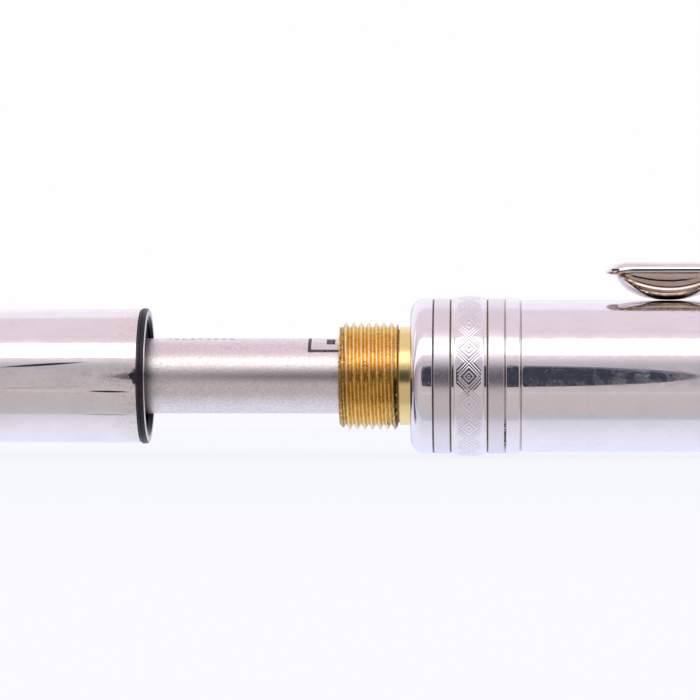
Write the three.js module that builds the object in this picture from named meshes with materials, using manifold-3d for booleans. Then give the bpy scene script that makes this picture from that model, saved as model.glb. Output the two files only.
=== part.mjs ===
// Twist-action ballpoint pen with its barrel unscrewed and drawn off the refill.
// Sizes are millimetres. The pen's axis runs along X: the writing point is towards -X,
// the cap towards +X, and the clip stands on the +Z side. Places along the axis are
// measured from the seat plane, where the closed barrel meets the lip ring of the cap.

import * as THREE from 'three';
import { mergeVertices } from 'three/addons/utils/BufferGeometryUtils.js';
import Module from 'manifold-3d';

const wasm = await Module();
wasm.setup();

// Facets round a turned piece: more on the pieces that show, fewer on those inside
const OUTER_SIDES = 32;
const INNER_SIDES = 24;
const WELD_DISTANCE = 1e-4;

// How far a cutting shape runs past the piece that it cuts
const CUT_PAST = 1;

// Clearances: pressed or screwed together, running in each other, and the line between rings
const FIT = 0.04;
const RUN = 0.1;
const SEAM = 0.12;

// How the pen stands in this pose, and how far its mechanism travels
const DRAWN_OFF = 20.8;
const FEED = 4.2;
const TWIST = THREE.MathUtils.degToRad(120);

// Refill
const REFILL_RADIUS = 2.98;
const REFILL_WALL = 0.28;
const REFILL_TUBE_LENGTH = 79;
const REFILL_REAR = 33;
const REFILL_PLUG_LENGTH = 3;
const INK_LENGTH = 52;
const NECK_RADIUS = 1.15;
const NECK_STEP = 0.12;
const NECK_TAPER_LENGTH = 7;
const NECK_SPIGOT_LENGTH = 3;
const TIP_LENGTH = 4.6;
const TIP_CONE_LENGTH = 3.2;
const TIP_END_RADIUS = 0.52;
const INK_CHANNEL_RADIUS = 0.4;
const BALL_RADIUS = 0.35;
const TIP_TAIL_RADIUS = 0.7;
const TIP_TAIL_LENGTH = 2;
const TIP_INSIDE = 1.2;
const BALL_SIDES = 12;

// Brass sleeve with the thread that the barrel screws onto
const THREAD_PITCH = 0.6;
const THREAD_DEPTH = 0.38;
const THREAD_ROOT_FLAT = 0.14;
const THREAD_LENGTH = 4.6;
const THREAD_CHAMFER = 0.36;
const THREAD_FIRST_CREST = -5.143;
const RELIEF_WIDTH = 0.16;
const RELIEF_DEPTH = 0.17;
const SLEEVE_WALL = 0.79;
const COLLAR_STEP = 0.03;
const COLLAR_LENGTH = 0.87;
const SLEEVE_FLANGE_START = 5;
const SLEEVE_FLANGE_WIDTH = 1.5;
const SPIGOT_LENGTH = 4.5;

// Twist mechanism
const SPRING_WIRE_RADIUS = 0.2;
const SPRING_TURNS = 8;
const SPRING_STEPS_PER_TURN = 14;
const SPRING_WIRE_SIDES = 5;
const GUIDE_WALL = 0.4;
const CAM_WALL = 0.4;
const CAM_FLANGE_STEP = 0.26;
const CAM_FLANGE_WIDTH = 1;
const WASHER_THICKNESS = 0.4;
const SLIDER_SOCKET_DEPTH = 4;
const SLIDER_SOLID_LENGTH = 4;
const PIN_RADIUS = 0.6;
const PIN_SIDES = 12;
const PIN_SEAT_DEPTH = 2.4;
const CAM_BEHIND_PIN = 2;
const GUIDE_BEHIND_CAM = 3;
const CAM_SLOT_STEPS = 12;
const SNAP_RING_WIDTH = 0.8;
const SNAP_RING_HEIGHT = 0.5;
const DRAG_RING_WIDTH = 0.9;
const DRAG_RING_START = 2;
const DRAG_RING_EDGE_GAP = 0.3;

// Cap
const LINER_WALL = 0.35;
const LINER_IN_CAP = 30;
const RING_WALL = 0.97;
const LIP_WIDTH = 1.75;
const LIP_FLANGE = 0.6;
const LIP_FILLET = 1.1;
const LIP_STEPS = 4;
const SATIN_RING_WIDTH = 1.24;
const BAND_WIDTH = 2.78;
const BAND_RISE = 0.19;
const BAND_EDGE_DROP = 0.04;
const BAND_EDGE_WIDTH = 0.22;
const BAND_STEPS = 2;
const BODY_RING_WIDTH = 1.1;
const RING_EDGE = 0.07;
const CAP_FRONT_WALL = 0.82;
const CAP_WALL = 0.45;
const CAP_LENGTH = 48;
const CAP_STRAIGHT_LENGTH = 15.3;
const CAP_TAPER = 0.99;
const CAP_TAPER_STEPS = 5;
const CAP_INSIDE_STEPS = 3;

// Clip
const CLIP_GAP = 2.18;
const CLIP_THICKNESS = 0.83;
const CLIP_WIDTH = 3.2;
const CLIP_TIP_WIDTH = 2.6;
const CLIP_CURVE_STEPS = 6;
const CLIP_TIP_PLACE = 15.6;
const CLIP_NOSE_LENGTH = 1.3;
const CLIP_NOSE_EDGE = 0.3;
const CLIP_RING_WIDTH = 1.6;
const CLIP_RING_STEP = 0.05;
const CLIP_BEND_RADIUS = 1.9;
const CLIP_ROOT_DEPTH = 1.6;
const KEEL_PLACE = 20.2;
const KEEL_LENGTH = 7.2;
const KEEL_CLEARANCE = 0.14;
const KEEL_WIDTH = 2.2;
const KEEL_ROUNDING = 0.8;
const KEEL_SIDES = 48;
const KEEL_STEPS = 4;

// Finial
const SCREW_RADIUS = 1.45;
const SCREW_TAIL = 1;
const ANCHOR_LENGTH = 6;
const ANCHOR_INSET = 3;
const FINIAL_BASE_WIDTH = 1.6;
const FINIAL_BASE_STEP = 0.12;
const FINIAL_WASHER_WIDTH = 0.4;
const DOME_LENGTH = 7.4;
const DOME_STEP = 0.32;
const DOME_TOP_RADIUS = 2.5;
const INLAY_RADIUS = 2;
const INLAY_THICKNESS = 0.5;
const DOME_HOLE_DEPTH = 4;
const DOME_STEPS = 5;

// Barrel, measured back from its mouth
const FEMALE_THREAD_DEPTH = 0.3;
const FEMALE_THREAD_LENGTH = 6;
const BUSH_WALL = 0.2;
const BUSH_LENGTH = 9;
const BUSH_FLANGE_THICKNESS = 0.12;
const BUSH_FLANGE_INSET = 0.03;
const GASKET_THICKNESS = 0.44;
const GASKET_PROUD = 0.1;
const SHELL_WALL = 0.4;
const SHELL_LENGTH = 57;
const SHELL_TAPER = 1.04;
const SHELL_TAPER_STEPS = 6;
const SHELL_INSIDE_STEPS = 4;
const NOSE_RING_WIDTH = 1.5;
const NOSE_RING_PROUD = 0.12;
const NOSE_LENGTH = 10.7;
const NOSE_SHOULDER = 0.1;
const NOSE_END_WALL = 0.45;
const NOSE_SPIGOT_LENGTH = 4.6;
const NOSE_SPIGOT_WALL = 0.6;
const NOSE_GUIDE_WALL = 0.7;
const NOSE_GUIDE_LENGTH = 7.4;
const NOSE_BELLY = 1.25;
const NOSE_STEPS = 4;
const NOSE_HOLE_LENGTH = 4;
const SEAT_GAP = 0.05;

// Radii worked out from the refill outwards
const sleeveBore = REFILL_RADIUS + RUN;
const threadRoot = sleeveBore + SLEEVE_WALL;
const threadCrest = threadRoot + THREAD_DEPTH;
const collarRadius = threadRoot + COLLAR_STEP;
const springRadius = REFILL_RADIUS + RUN + SPRING_WIRE_RADIUS;
const guideBore = springRadius + SPRING_WIRE_RADIUS + RUN;
const guideRadius = guideBore + GUIDE_WALL;
const camBore = guideRadius + RUN;
const camRadius = camBore + CAM_WALL;
const camFlangeRadius = camRadius + CAM_FLANGE_STEP;
const linerBore = camFlangeRadius + FIT;
const linerRadius = linerBore + LINER_WALL;
const ringBore = linerRadius + FIT;
const ringRadius = ringBore + RING_WALL;
const bandRadius = ringRadius + BAND_RISE;
const capRadius = ringBore + CAP_FRONT_WALL;
const capTopRadius = capRadius - CAP_TAPER;
const bushBore = threadCrest + RUN;
const bushRadius = bushBore + FEMALE_THREAD_DEPTH + BUSH_WALL;
const barrelRadius = bushRadius + FIT + SHELL_WALL;
const shellEndRadius = barrelRadius - SHELL_TAPER;
const refillBore = REFILL_RADIUS - REFILL_WALL;
const sliderRadius = guideBore - RUN;
const lipBore = collarRadius + RUN;
const clipUnder = capRadius + CLIP_GAP;
const clipTop = clipUnder + CLIP_THICKNESS;
const clipRingRadius = capTopRadius + CLIP_RING_STEP;
const screwHole = SCREW_RADIUS + FIT;
const finialBaseRadius = capTopRadius - FINIAL_BASE_STEP;
const domeRadius = capTopRadius - DOME_STEP;
const noseSpigotRadius = shellEndRadius - SHELL_WALL - FIT;
const noseHole = NECK_RADIUS + RUN + FIT;
const noseGuideRadius = noseHole + NOSE_GUIDE_WALL;

// Places along the axis on the cap side
const threadEnd = -COLLAR_LENGTH - RELIEF_WIDTH;
const threadStart = threadEnd - THREAD_LENGTH;
const spigotStart = SLEEVE_FLANGE_START + SLEEVE_FLANGE_WIDTH;
const spigotEnd = spigotStart + SPIGOT_LENGTH;
const camStart = spigotStart + WASHER_THICKNESS + 2 * FIT;
const sliderFront = REFILL_REAR - SLIDER_SOCKET_DEPTH;
const pinPlace = REFILL_REAR + SLIDER_SOLID_LENGTH / 2;
const pinFoot = sliderRadius - PIN_SEAT_DEPTH;
const sliderRear = REFILL_REAR + SLIDER_SOLID_LENGTH;
const camEnd = pinPlace + CAM_BEHIND_PIN;
const guideEnd = camEnd + GUIDE_BEHIND_CAM;
const frontSatinStart = LIP_WIDTH + SEAM;
const bandStart = frontSatinStart + SATIN_RING_WIDTH + SEAM;
const bandEnd = bandStart + BAND_WIDTH;
const rearSatinStart = bandEnd + SEAM;
const bodyRingStart = rearSatinStart + SATIN_RING_WIDTH + SEAM;
const capStart = bodyRingStart + BODY_RING_WIDTH + SEAM;
const capEnd = capStart + CAP_LENGTH;
const anchorEnd = capEnd - ANCHOR_INSET;
const linerStart = LIP_FLANGE + FIT;
const linerEnd = capStart + LINER_IN_CAP;
const clipRingStart = capEnd + SEAM;
const clipRingEnd = clipRingStart + CLIP_RING_WIDTH;
const finialWasherStart = clipRingEnd + FIT;
const finialBaseStart = finialWasherStart + FINIAL_WASHER_WIDTH + FIT;
const domeStart = finialBaseStart + FINIAL_BASE_WIDTH + SEAM;
const domeEnd = domeStart + DOME_LENGTH;

// Places along the axis on the barrel side, with the barrel closed
const gasketEnd = -BUSH_FLANGE_THICKNESS - FIT;
const shellMouth = gasketEnd - GASKET_THICKNESS - FIT;
const shellEnd = shellMouth - SHELL_LENGTH;
const noseRingEnd = shellEnd - SEAM;
const noseStart = noseRingEnd - NOSE_RING_WIDTH - SEAM;
const noseEnd = noseStart - NOSE_LENGTH;
const noseHoleStart = noseEnd + NOSE_HOLE_LENGTH;
const noseGuideEnd = noseHoleStart + NOSE_GUIDE_LENGTH;
const pointPlace = noseEnd + TIP_INSIDE;
const tipEnd = pointPlace + BALL_RADIUS;
const tipStart = tipEnd + TIP_LENGTH;
const refillFront = REFILL_REAR - REFILL_TUBE_LENGTH;
const inkFront = refillFront + NECK_SPIGOT_LENGTH + FIT;

// Finishes
function metal(color, roughness) {
  return new THREE.MeshStandardMaterial({ color, roughness, metalness: 1 });
}

function plastic(color, roughness) {
  return new THREE.MeshStandardMaterial({ color, roughness, metalness: 0 });
}

const polishedSteel = metal(0xdcd6da, 0.08);
const satinSteel = metal(0xc6bfc2, 0.36);
const warmNickel = metal(0xb3a492, 0.14);
const brass = metal(0xd8a03c, 0.28);
const springSteel = metal(0x9c9ca0, 0.3);
const blackRubber = plastic(0x1c1a20, 0.55);
const greyPlastic = plastic(0x8d8f92, 0.5);
const inkPaste = plastic(0x14151f, 0.35);

// Makes shared corners one vertex and drops the triangles that this leaves without area
function weld(geometry) {
  const bare = geometry.clone();
  bare.deleteAttribute('normal');
  bare.deleteAttribute('uv');
  const welded = mergeVertices(bare, WELD_DISTANCE);
  const corners = welded.index.array;
  const kept = [];
  for (let i = 0; i < corners.length; i += 3) {
    const [a, b, c] = corners.slice(i, i + 3);
    if (a !== b && b !== c && c !== a) {
      kept.push(a, b, c);
    }
  }
  welded.setIndex(kept);
  return welded;
}

// Turns the faces of a closed geometry outwards
function facingOut(geometry) {
  const position = geometry.attributes.position;
  const corners = geometry.index.array;
  const [a, b, c] = [new THREE.Vector3(), new THREE.Vector3(), new THREE.Vector3()];
  let volume = 0;
  for (let i = 0; i < corners.length; i += 3) {
    a.fromBufferAttribute(position, corners[i]);
    b.fromBufferAttribute(position, corners[i + 1]);
    c.fromBufferAttribute(position, corners[i + 2]);
    volume += a.dot(b.cross(c));
  }
  if (volume < 0) {
    geometry.setIndex(Array.from(corners).reverse());
  }
  return geometry;
}

// A body of revolution about the X axis from points [x, radius]. The outline starts and
// ends on the axis, or else it closes on itself.
function turned(outline, sides) {
  const points = outline.map(([x, radius]) => new THREE.Vector2(radius, x));
  const startsOnAxis = outline[0][1] === 0;
  if (!startsOnAxis) {
    points.push(points[0].clone());
  }
  const geometry = new THREE.LatheGeometry(points, sides, Math.PI / sides);
  geometry.rotateZ(-Math.PI / 2);
  return facingOut(weld(geometry));
}

function tube(from, to, bore, radius, sides) {
  return turned([[from, bore], [from, radius], [to, radius], [to, bore]], sides);
}

function rod(from, to, radius, sides) {
  return turned([[from, 0], [from, radius], [to, radius], [to, 0]], sides);
}

// Points of an arc in the outline's plane, from one angle to another, in degrees
function arc(x, radiusPlace, radius, fromAngle, toAngle, steps) {
  const points = [];
  for (let i = 0; i <= steps; i += 1) {
    const angle = THREE.MathUtils.degToRad(fromAngle + ((toAngle - fromAngle) * i) / steps);
    points.push([x + radius * Math.cos(angle), radiusPlace + radius * Math.sin(angle)]);
  }
  return points;
}

// Between a geometry and a solid that can be joined and cut
function solid(geometry) {
  const closed = weld(geometry);
  return new wasm.Manifold(new wasm.Mesh({
    numProp: 3,
    vertProperties: new Float32Array(closed.attributes.position.array),
    triVerts: new Uint32Array(closed.index.array),
  }));
}

function geometryOf(manifold) {
  const mesh = manifold.getMesh();
  const geometry = new THREE.BufferGeometry();
  geometry.setAttribute('position', new THREE.BufferAttribute(mesh.vertProperties, 3));
  geometry.setIndex(Array.from(mesh.triVerts));
  return facingOut(weld(geometry));
}

// A right-hand threaded rod on the X axis. Three rows of vertices make one pitch, and each
// row climbs by one pitch in a full turn, so a row's end meets the start of the third row on.
function threadedRod(from, to, root, crest, firstCrest, sides) {
  const rowsPerPitch = 3;
  const rootPlace = (THREAD_PITCH - THREAD_ROOT_FLAT) / 2;
  const rowOffsets = [0, rootPlace, rootPlace + THREAD_ROOT_FLAT];
  const rowRadii = [crest, root, root];
  const pitchesBefore = Math.ceil((firstCrest - from) / THREAD_PITCH) + 2;
  const pitches = pitchesBefore + Math.ceil((to - firstCrest) / THREAD_PITCH) + 2;
  const rows = pitches * rowsPerPitch;
  const positions = [];
  for (let row = 0; row < rows; row += 1) {
    const kind = row % rowsPerPitch;
    const pitch = Math.floor(row / rowsPerPitch) - pitchesBefore;
    const rowPlace = firstCrest + pitch * THREAD_PITCH + rowOffsets[kind];
    for (let side = 0; side < sides; side += 1) {
      const turn = (side + 0.5) / sides;
      const angle = Math.PI / 2 + turn * 2 * Math.PI;
      positions.push(
        rowPlace + turn * THREAD_PITCH,
        rowRadii[kind] * Math.cos(angle),
        rowRadii[kind] * Math.sin(angle),
      );
    }
  }
  const at = (row, side) => (side < sides ? row * sides + side : (row + rowsPerPitch) * sides);
  const last = sides - 1;
  const corners = [];
  for (let row = 0; row < rows - 1; row += 1) {
    const columns = row + 1 + rowsPerPitch < rows ? sides : last;
    for (let side = 0; side < columns; side += 1) {
      corners.push(at(row, side), at(row, side + 1), at(row + 1, side));
      corners.push(at(row, side + 1), at(row + 1, side + 1), at(row + 1, side));
    }
  }
  const startCentre = positions.length / 3;
  positions.push(positions[0], 0, 0);
  const endCentre = startCentre + 1;
  positions.push(positions[3 * at(rows - 1, last)], 0, 0);
  for (let side = 0; side < sides; side += 1) {
    corners.push(startCentre, at(0, side + 1), at(0, side));
  }
  for (let side = 0; side < last; side += 1) {
    corners.push(endCentre, at(rows - 1, side), at(rows - 1, side + 1));
  }
  for (let row = 0; row < rowsPerPitch; row += 1) {
    corners.push(startCentre, at(row, 0), at(row + 1, 0));
    corners.push(endCentre, at(rows - 1 - row, last), at(rows - 2 - row, last));
  }
  corners.push(endCentre, at(rows - 1 - rowsPerPitch, last), at(rows - 1, 0));
  const geometry = new THREE.BufferGeometry();
  geometry.setAttribute('position', new THREE.Float32BufferAttribute(positions, 3));
  geometry.setIndex(corners);
  return solid(facingOut(geometry));
}

// Outline of the cap skin and of the barrel skin: a parabola down to the small end
function capRadiusAt(x) {
  const taperStart = capStart + CAP_STRAIGHT_LENGTH;
  const share = Math.max(0, (x - taperStart) / (capEnd - taperStart));
  return capRadius - CAP_TAPER * share * share;
}

function barrelRadiusAt(x) {
  const share = Math.max(0, (shellMouth - x) / SHELL_LENGTH);
  return barrelRadius - SHELL_TAPER * share * share;
}

function stations(from, to, steps) {
  return Array.from({ length: steps + 1 }, (_, i) => from + ((to - from) * i) / steps);
}

// Brass sleeve: male thread, relief, plain collar, bearing flange and spigot
function makeThreadedSleeve() {
  const coreRadius = threadRoot - RELIEF_DEPTH;
  const body = solid(turned([
    [threadStart + THREAD_CHAMFER, 0],
    [threadStart + THREAD_CHAMFER, coreRadius],
    [-COLLAR_LENGTH, coreRadius],
    [-COLLAR_LENGTH, collarRadius],
    [SLEEVE_FLANGE_START, collarRadius],
    [SLEEVE_FLANGE_START, camRadius],
    [spigotStart, camRadius],
    [spigotStart, guideBore - FIT],
    [spigotEnd, guideBore - FIT],
    [spigotEnd, 0],
  ], INNER_SIDES));
  const envelope = solid(turned([
    [threadStart, 0],
    [threadStart, threadCrest - THREAD_CHAMFER],
    [threadStart + THREAD_CHAMFER + RUN, threadCrest + RUN],
    [threadEnd, threadCrest + RUN],
    [threadEnd, 0],
  ], INNER_SIDES));
  const thread = threadedRod(
    threadStart, threadEnd, threadRoot, threadCrest, THREAD_FIRST_CREST, INNER_SIDES,
  ).intersect(envelope);
  const bore = solid(rod(threadStart - CUT_PAST, spigotEnd + CUT_PAST, sleeveBore, INNER_SIDES));
  return geometryOf(body.add(thread).subtract(bore));
}

// Return spring: one wire wound round the refill, between the spigot and the slider
class SpringCurve extends THREE.Curve {
  constructor(from, to) {
    super();
    this.from = from;
    this.to = to;
  }

  getPoint(share, target = new THREE.Vector3()) {
    const angle = share * SPRING_TURNS * 2 * Math.PI;
    const x = THREE.MathUtils.lerp(this.from, this.to, share);
    return target.set(x, springRadius * Math.cos(angle), springRadius * Math.sin(angle));
  }
}

function makeReturnSpring() {
  const inset = SPRING_WIRE_RADIUS + FIT;
  const wire = new THREE.Shape();
  for (let side = 0; side < SPRING_WIRE_SIDES; side += 1) {
    const angle = (side / SPRING_WIRE_SIDES) * 2 * Math.PI;
    const [x, y] = [SPRING_WIRE_RADIUS * Math.cos(angle), SPRING_WIRE_RADIUS * Math.sin(angle)];
    if (side === 0) {
      wire.moveTo(x, y);
    } else {
      wire.lineTo(x, y);
    }
  }
  wire.closePath();
  const geometry = new THREE.ExtrudeGeometry(wire, {
    steps: SPRING_TURNS * SPRING_STEPS_PER_TURN,
    extrudePath: new SpringCurve(spigotEnd + inset, sliderFront - inset),
  });
  return facingOut(weld(geometry));
}

// Guide tube: the follower pin runs in its straight slot
function makeGuideTube() {
  const slotHalfWidth = PIN_RADIUS + RUN;
  const blank = solid(tube(spigotStart + FIT, guideEnd, guideBore, guideRadius, INNER_SIDES));
  const slotLength = FEED + 2 * slotHalfWidth;
  const slot = new THREE.BoxGeometry(slotLength, 2 * slotHalfWidth, guideRadius);
  slot.translate(pinPlace - FEED / 2, 0, guideRadius);
  return geometryOf(blank.subtract(solid(slot)));
}

// Cam sleeve: a helical slot leads the pin forward by the feed as the cap makes its twist
function makeCamSleeve() {
  const blank = solid(turned([
    [camStart, camBore],
    [camStart, camRadius],
    [camEnd - CAM_FLANGE_WIDTH, camRadius],
    [camEnd - CAM_FLANGE_WIDTH, camFlangeRadius],
    [camEnd, camFlangeRadius],
    [camEnd, camBore],
  ], INNER_SIDES));
  const halfWidth = PIN_RADIUS + 2 * RUN;
  const meanRadius = (camBore + camRadius) / 2;
  const arcLength = TWIST * meanRadius;
  const pathLength = Math.hypot(FEED, arcLength);
  const overrun = halfWidth / pathLength;
  const wallRadii = [guideBore, camFlangeRadius + FIT];
  const positions = [];
  for (const share of stations(-overrun, 1 + overrun, CAM_SLOT_STEPS)) {
    for (const edge of [-1, 1]) {
      const x = pinPlace - FEED * share + (edge * halfWidth * arcLength) / pathLength;
      const sideways = (edge * halfWidth * FEED) / pathLength;
      const angle = Math.PI / 2 + TWIST * share + sideways / meanRadius;
      for (const radius of wallRadii) {
        positions.push(x, radius * Math.cos(angle), radius * Math.sin(angle));
      }
    }
  }
  const corners = [];
  const ring = [0, 1, 3, 2];
  for (let step = 0; step < CAM_SLOT_STEPS; step += 1) {
    for (let i = 0; i < ring.length; i += 1) {
      const [a, b] = [4 * step + ring[i], 4 * step + ring[(i + 1) % ring.length]];
      corners.push(a, b, a + 4, b, b + 4, a + 4);
    }
  }
  const end = 4 * CAM_SLOT_STEPS;
  corners.push(ring[0], ring[2], ring[1], ring[0], ring[3], ring[2]);
  corners.push(end + ring[0], end + ring[1], end + ring[2]);
  corners.push(end + ring[0], end + ring[2], end + ring[3]);
  const slot = new THREE.BufferGeometry();
  slot.setAttribute('position', new THREE.Float32BufferAttribute(positions, 3));
  slot.setIndex(corners);
  return geometryOf(blank.subtract(solid(facingOut(slot))));
}

// A round pin or drill standing along Z at a place on the axis
function pillar(place, from, to, radius) {
  const geometry = new THREE.CylinderGeometry(radius, radius, to - from, PIN_SIDES);
  geometry.rotateX(Math.PI / 2);
  geometry.translate(place, 0, (from + to) / 2);
  return weld(geometry);
}

// Slider: holds the refill's rear end and carries the follower pin
function makeSlider() {
  const socket = REFILL_RADIUS + FIT;
  const body = solid(turned([
    [REFILL_REAR + FIT, 0],
    [REFILL_REAR + FIT, socket],
    [sliderFront, socket],
    [sliderFront, sliderRadius],
    [sliderRear, sliderRadius],
    [sliderRear, 0],
  ], INNER_SIDES));
  const hole = pillar(pinPlace, pinFoot - FIT, camRadius, PIN_RADIUS + FIT);
  return geometryOf(body.subtract(solid(hole)));
}

function makeRefillNeck() {
  const tailHole = TIP_TAIL_RADIUS + FIT;
  const tailEnd = tipStart + TIP_TAIL_LENGTH + FIT;
  const taperStart = refillFront - FIT;
  const taperEnd = refillFront - NECK_TAPER_LENGTH;
  return turned([
    [refillFront + NECK_SPIGOT_LENGTH, INK_CHANNEL_RADIUS],
    [refillFront + NECK_SPIGOT_LENGTH, refillBore - FIT],
    [taperStart, refillBore - FIT],
    [taperStart, REFILL_RADIUS - NECK_STEP],
    [taperEnd, NECK_RADIUS],
    [tipStart + FIT, NECK_RADIUS],
    [tipStart + FIT, tailHole],
    [tailEnd, tailHole],
    [tailEnd, INK_CHANNEL_RADIUS],
  ], INNER_SIDES);
}

function makeRefillTip() {
  return turned([
    [tipStart + TIP_TAIL_LENGTH, INK_CHANNEL_RADIUS],
    [tipStart + TIP_TAIL_LENGTH, TIP_TAIL_RADIUS],
    [tipStart, TIP_TAIL_RADIUS],
    [tipStart, NECK_RADIUS],
    [tipEnd + TIP_CONE_LENGTH, NECK_RADIUS],
    [tipEnd, TIP_END_RADIUS],
    [tipEnd, INK_CHANNEL_RADIUS],
  ], INNER_SIDES);
}

function makeWritingBall() {
  const geometry = new THREE.SphereGeometry(BALL_RADIUS, BALL_SIDES, BALL_SIDES / 2);
  geometry.translate(tipEnd, 0, 0);
  return facingOut(weld(geometry));
}

// Lip ring: a rounded front edge, and an inner flange that the collar runs in
function makeLipRing() {
  return turned([
    [0, lipBore],
    [0, ringRadius - LIP_FILLET],
    ...arc(LIP_FILLET, ringRadius - LIP_FILLET, LIP_FILLET, 180, 90, LIP_STEPS).slice(1),
    [LIP_WIDTH, ringRadius],
    [LIP_WIDTH, ringBore],
    [LIP_FLANGE, ringBore],
    [LIP_FLANGE, lipBore],
  ], OUTER_SIDES);
}

// A flat trim ring with its two outer edges broken
function makeTrimRing(from, to, bore, radius) {
  return turned([
    [from, bore],
    [from, radius - RING_EDGE],
    [from + RING_EDGE, radius],
    [to - RING_EDGE, radius],
    [to, radius - RING_EDGE],
    [to, bore],
  ], OUTER_SIDES);
}

// Centre band: a raised crown with rounded shoulders between two narrow flats
function makeCentreBand() {
  const edgeRadius = ringRadius - BAND_EDGE_DROP;
  const rounding = bandRadius - edgeRadius;
  const frontShoulder = bandStart + BAND_EDGE_WIDTH + rounding;
  const rearShoulder = bandEnd - BAND_EDGE_WIDTH - rounding;
  return turned([
    [bandStart, ringBore],
    [bandStart, edgeRadius],
    ...arc(frontShoulder, edgeRadius, rounding, 180, 90, BAND_STEPS),
    ...arc(rearShoulder, edgeRadius, rounding, 90, 0, BAND_STEPS),
    [bandEnd, edgeRadius],
    [bandEnd, ringBore],
  ], OUTER_SIDES);
}

function makeCapBody() {
  const taperStart = capStart + CAP_STRAIGHT_LENGTH;
  const outside = stations(taperStart, capEnd, CAP_TAPER_STEPS);
  const inside = stations(capEnd, linerEnd, CAP_INSIDE_STEPS);
  return turned([
    [capStart, ringBore],
    [capStart, capRadius - RING_EDGE],
    [capStart + RING_EDGE, capRadius],
    ...outside.map((x) => [x, capRadiusAt(x)]),
    ...inside.map((x) => [x, capRadiusAt(x) - CAP_WALL]),
    [linerEnd, ringBore],
  ], OUTER_SIDES);
}

// Clip: the arm's side outline, cut by its plan, joined to the ring that holds it
function makeClip() {
  const side = new THREE.Shape();
  const innerBend = CLIP_BEND_RADIUS - CLIP_THICKNESS;
  const rootHeight = clipRingRadius - CLIP_ROOT_DEPTH;
  side.moveTo(CLIP_TIP_PLACE, clipUnder);
  side.lineTo(clipRingStart - innerBend, clipUnder);
  side.absarc(clipRingStart - innerBend, clipUnder - innerBend, innerBend, Math.PI / 2, 0, true);
  side.lineTo(clipRingStart, rootHeight);
  side.lineTo(clipRingEnd, rootHeight);
  side.lineTo(clipRingEnd, clipTop - CLIP_BEND_RADIUS);
  side.absarc(
    clipRingEnd - CLIP_BEND_RADIUS, clipTop - CLIP_BEND_RADIUS, CLIP_BEND_RADIUS, 0, Math.PI / 2,
  );
  side.lineTo(CLIP_TIP_PLACE + CLIP_NOSE_LENGTH, clipTop);
  side.lineTo(CLIP_TIP_PLACE, clipUnder + CLIP_NOSE_EDGE);
  side.closePath();
  const bar = new THREE.ExtrudeGeometry(side, {
    depth: CLIP_WIDTH, bevelEnabled: false, curveSegments: CLIP_CURVE_STEPS,
  });
  bar.rotateX(Math.PI / 2);
  bar.translate(0, CLIP_WIDTH / 2, 0);

  const plan = new THREE.Shape();
  const tipHalf = CLIP_TIP_WIDTH / 2;
  plan.moveTo(clipRingEnd + CLIP_WIDTH, -CLIP_WIDTH / 2);
  plan.lineTo(clipRingEnd + CLIP_WIDTH, CLIP_WIDTH / 2);
  plan.lineTo(CLIP_TIP_PLACE + tipHalf, tipHalf);
  plan.absarc(CLIP_TIP_PLACE + tipHalf, 0, tipHalf, Math.PI / 2, 1.5 * Math.PI);
  plan.closePath();
  const planBlock = new THREE.ExtrudeGeometry(plan, {
    depth: clipTop + CLIP_THICKNESS, bevelEnabled: false, curveSegments: CLIP_CURVE_STEPS,
  });

  const arm = solid(bar).intersect(solid(planBlock));
  const ring = makeTrimRing(clipRingStart, clipRingEnd, screwHole, clipRingRadius);
  return geometryOf(arm.add(solid(ring)));
}

// Keel under the clip's tip: the lower part of a disc with rounded edges
function makeClipKeel() {
  const depth = CLIP_GAP - KEEL_CLEARANCE - FIT;
  const radius = (KEEL_LENGTH * KEEL_LENGTH / 4 + depth * depth) / (2 * depth);
  const half = KEEL_WIDTH / 2;
  const flat = half - KEEL_ROUNDING;
  const disc = turned([
    [-half, 0],
    ...arc(-flat, radius - KEEL_ROUNDING, KEEL_ROUNDING, 180, 90, KEEL_STEPS),
    ...arc(flat, radius - KEEL_ROUNDING, KEEL_ROUNDING, 90, 0, KEEL_STEPS),
    [half, 0],
  ], KEEL_SIDES);
  disc.rotateZ(Math.PI / 2);
  disc.translate(KEEL_PLACE, 0, capRadius + KEEL_CLEARANCE + radius);
  const below = new THREE.BoxGeometry(2 * radius, 2 * KEEL_WIDTH, radius);
  below.translate(KEEL_PLACE, 0, clipUnder - FIT - radius / 2);
  return geometryOf(solid(disc).intersect(solid(below)));
}

// Finial dome: a quarter ellipse up to a small flat, with a seat for the inlay
function makeFinialDome() {
  const outline = [
    [domeStart + DOME_HOLE_DEPTH, 0],
    [domeStart + DOME_HOLE_DEPTH, screwHole],
    [domeStart, screwHole],
  ];
  for (const angle of stations(0, Math.PI / 2, DOME_STEPS)) {
    outline.push([
      domeStart + DOME_LENGTH * Math.sin(angle),
      DOME_TOP_RADIUS + (domeRadius - DOME_TOP_RADIUS) * Math.cos(angle),
    ]);
  }
  outline.push([domeEnd, INLAY_RADIUS + FIT]);
  outline.push([domeEnd - INLAY_THICKNESS - FIT, INLAY_RADIUS + FIT]);
  outline.push([domeEnd - INLAY_THICKNESS - FIT, 0]);
  return turned(outline, OUTER_SIDES);
}

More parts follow.
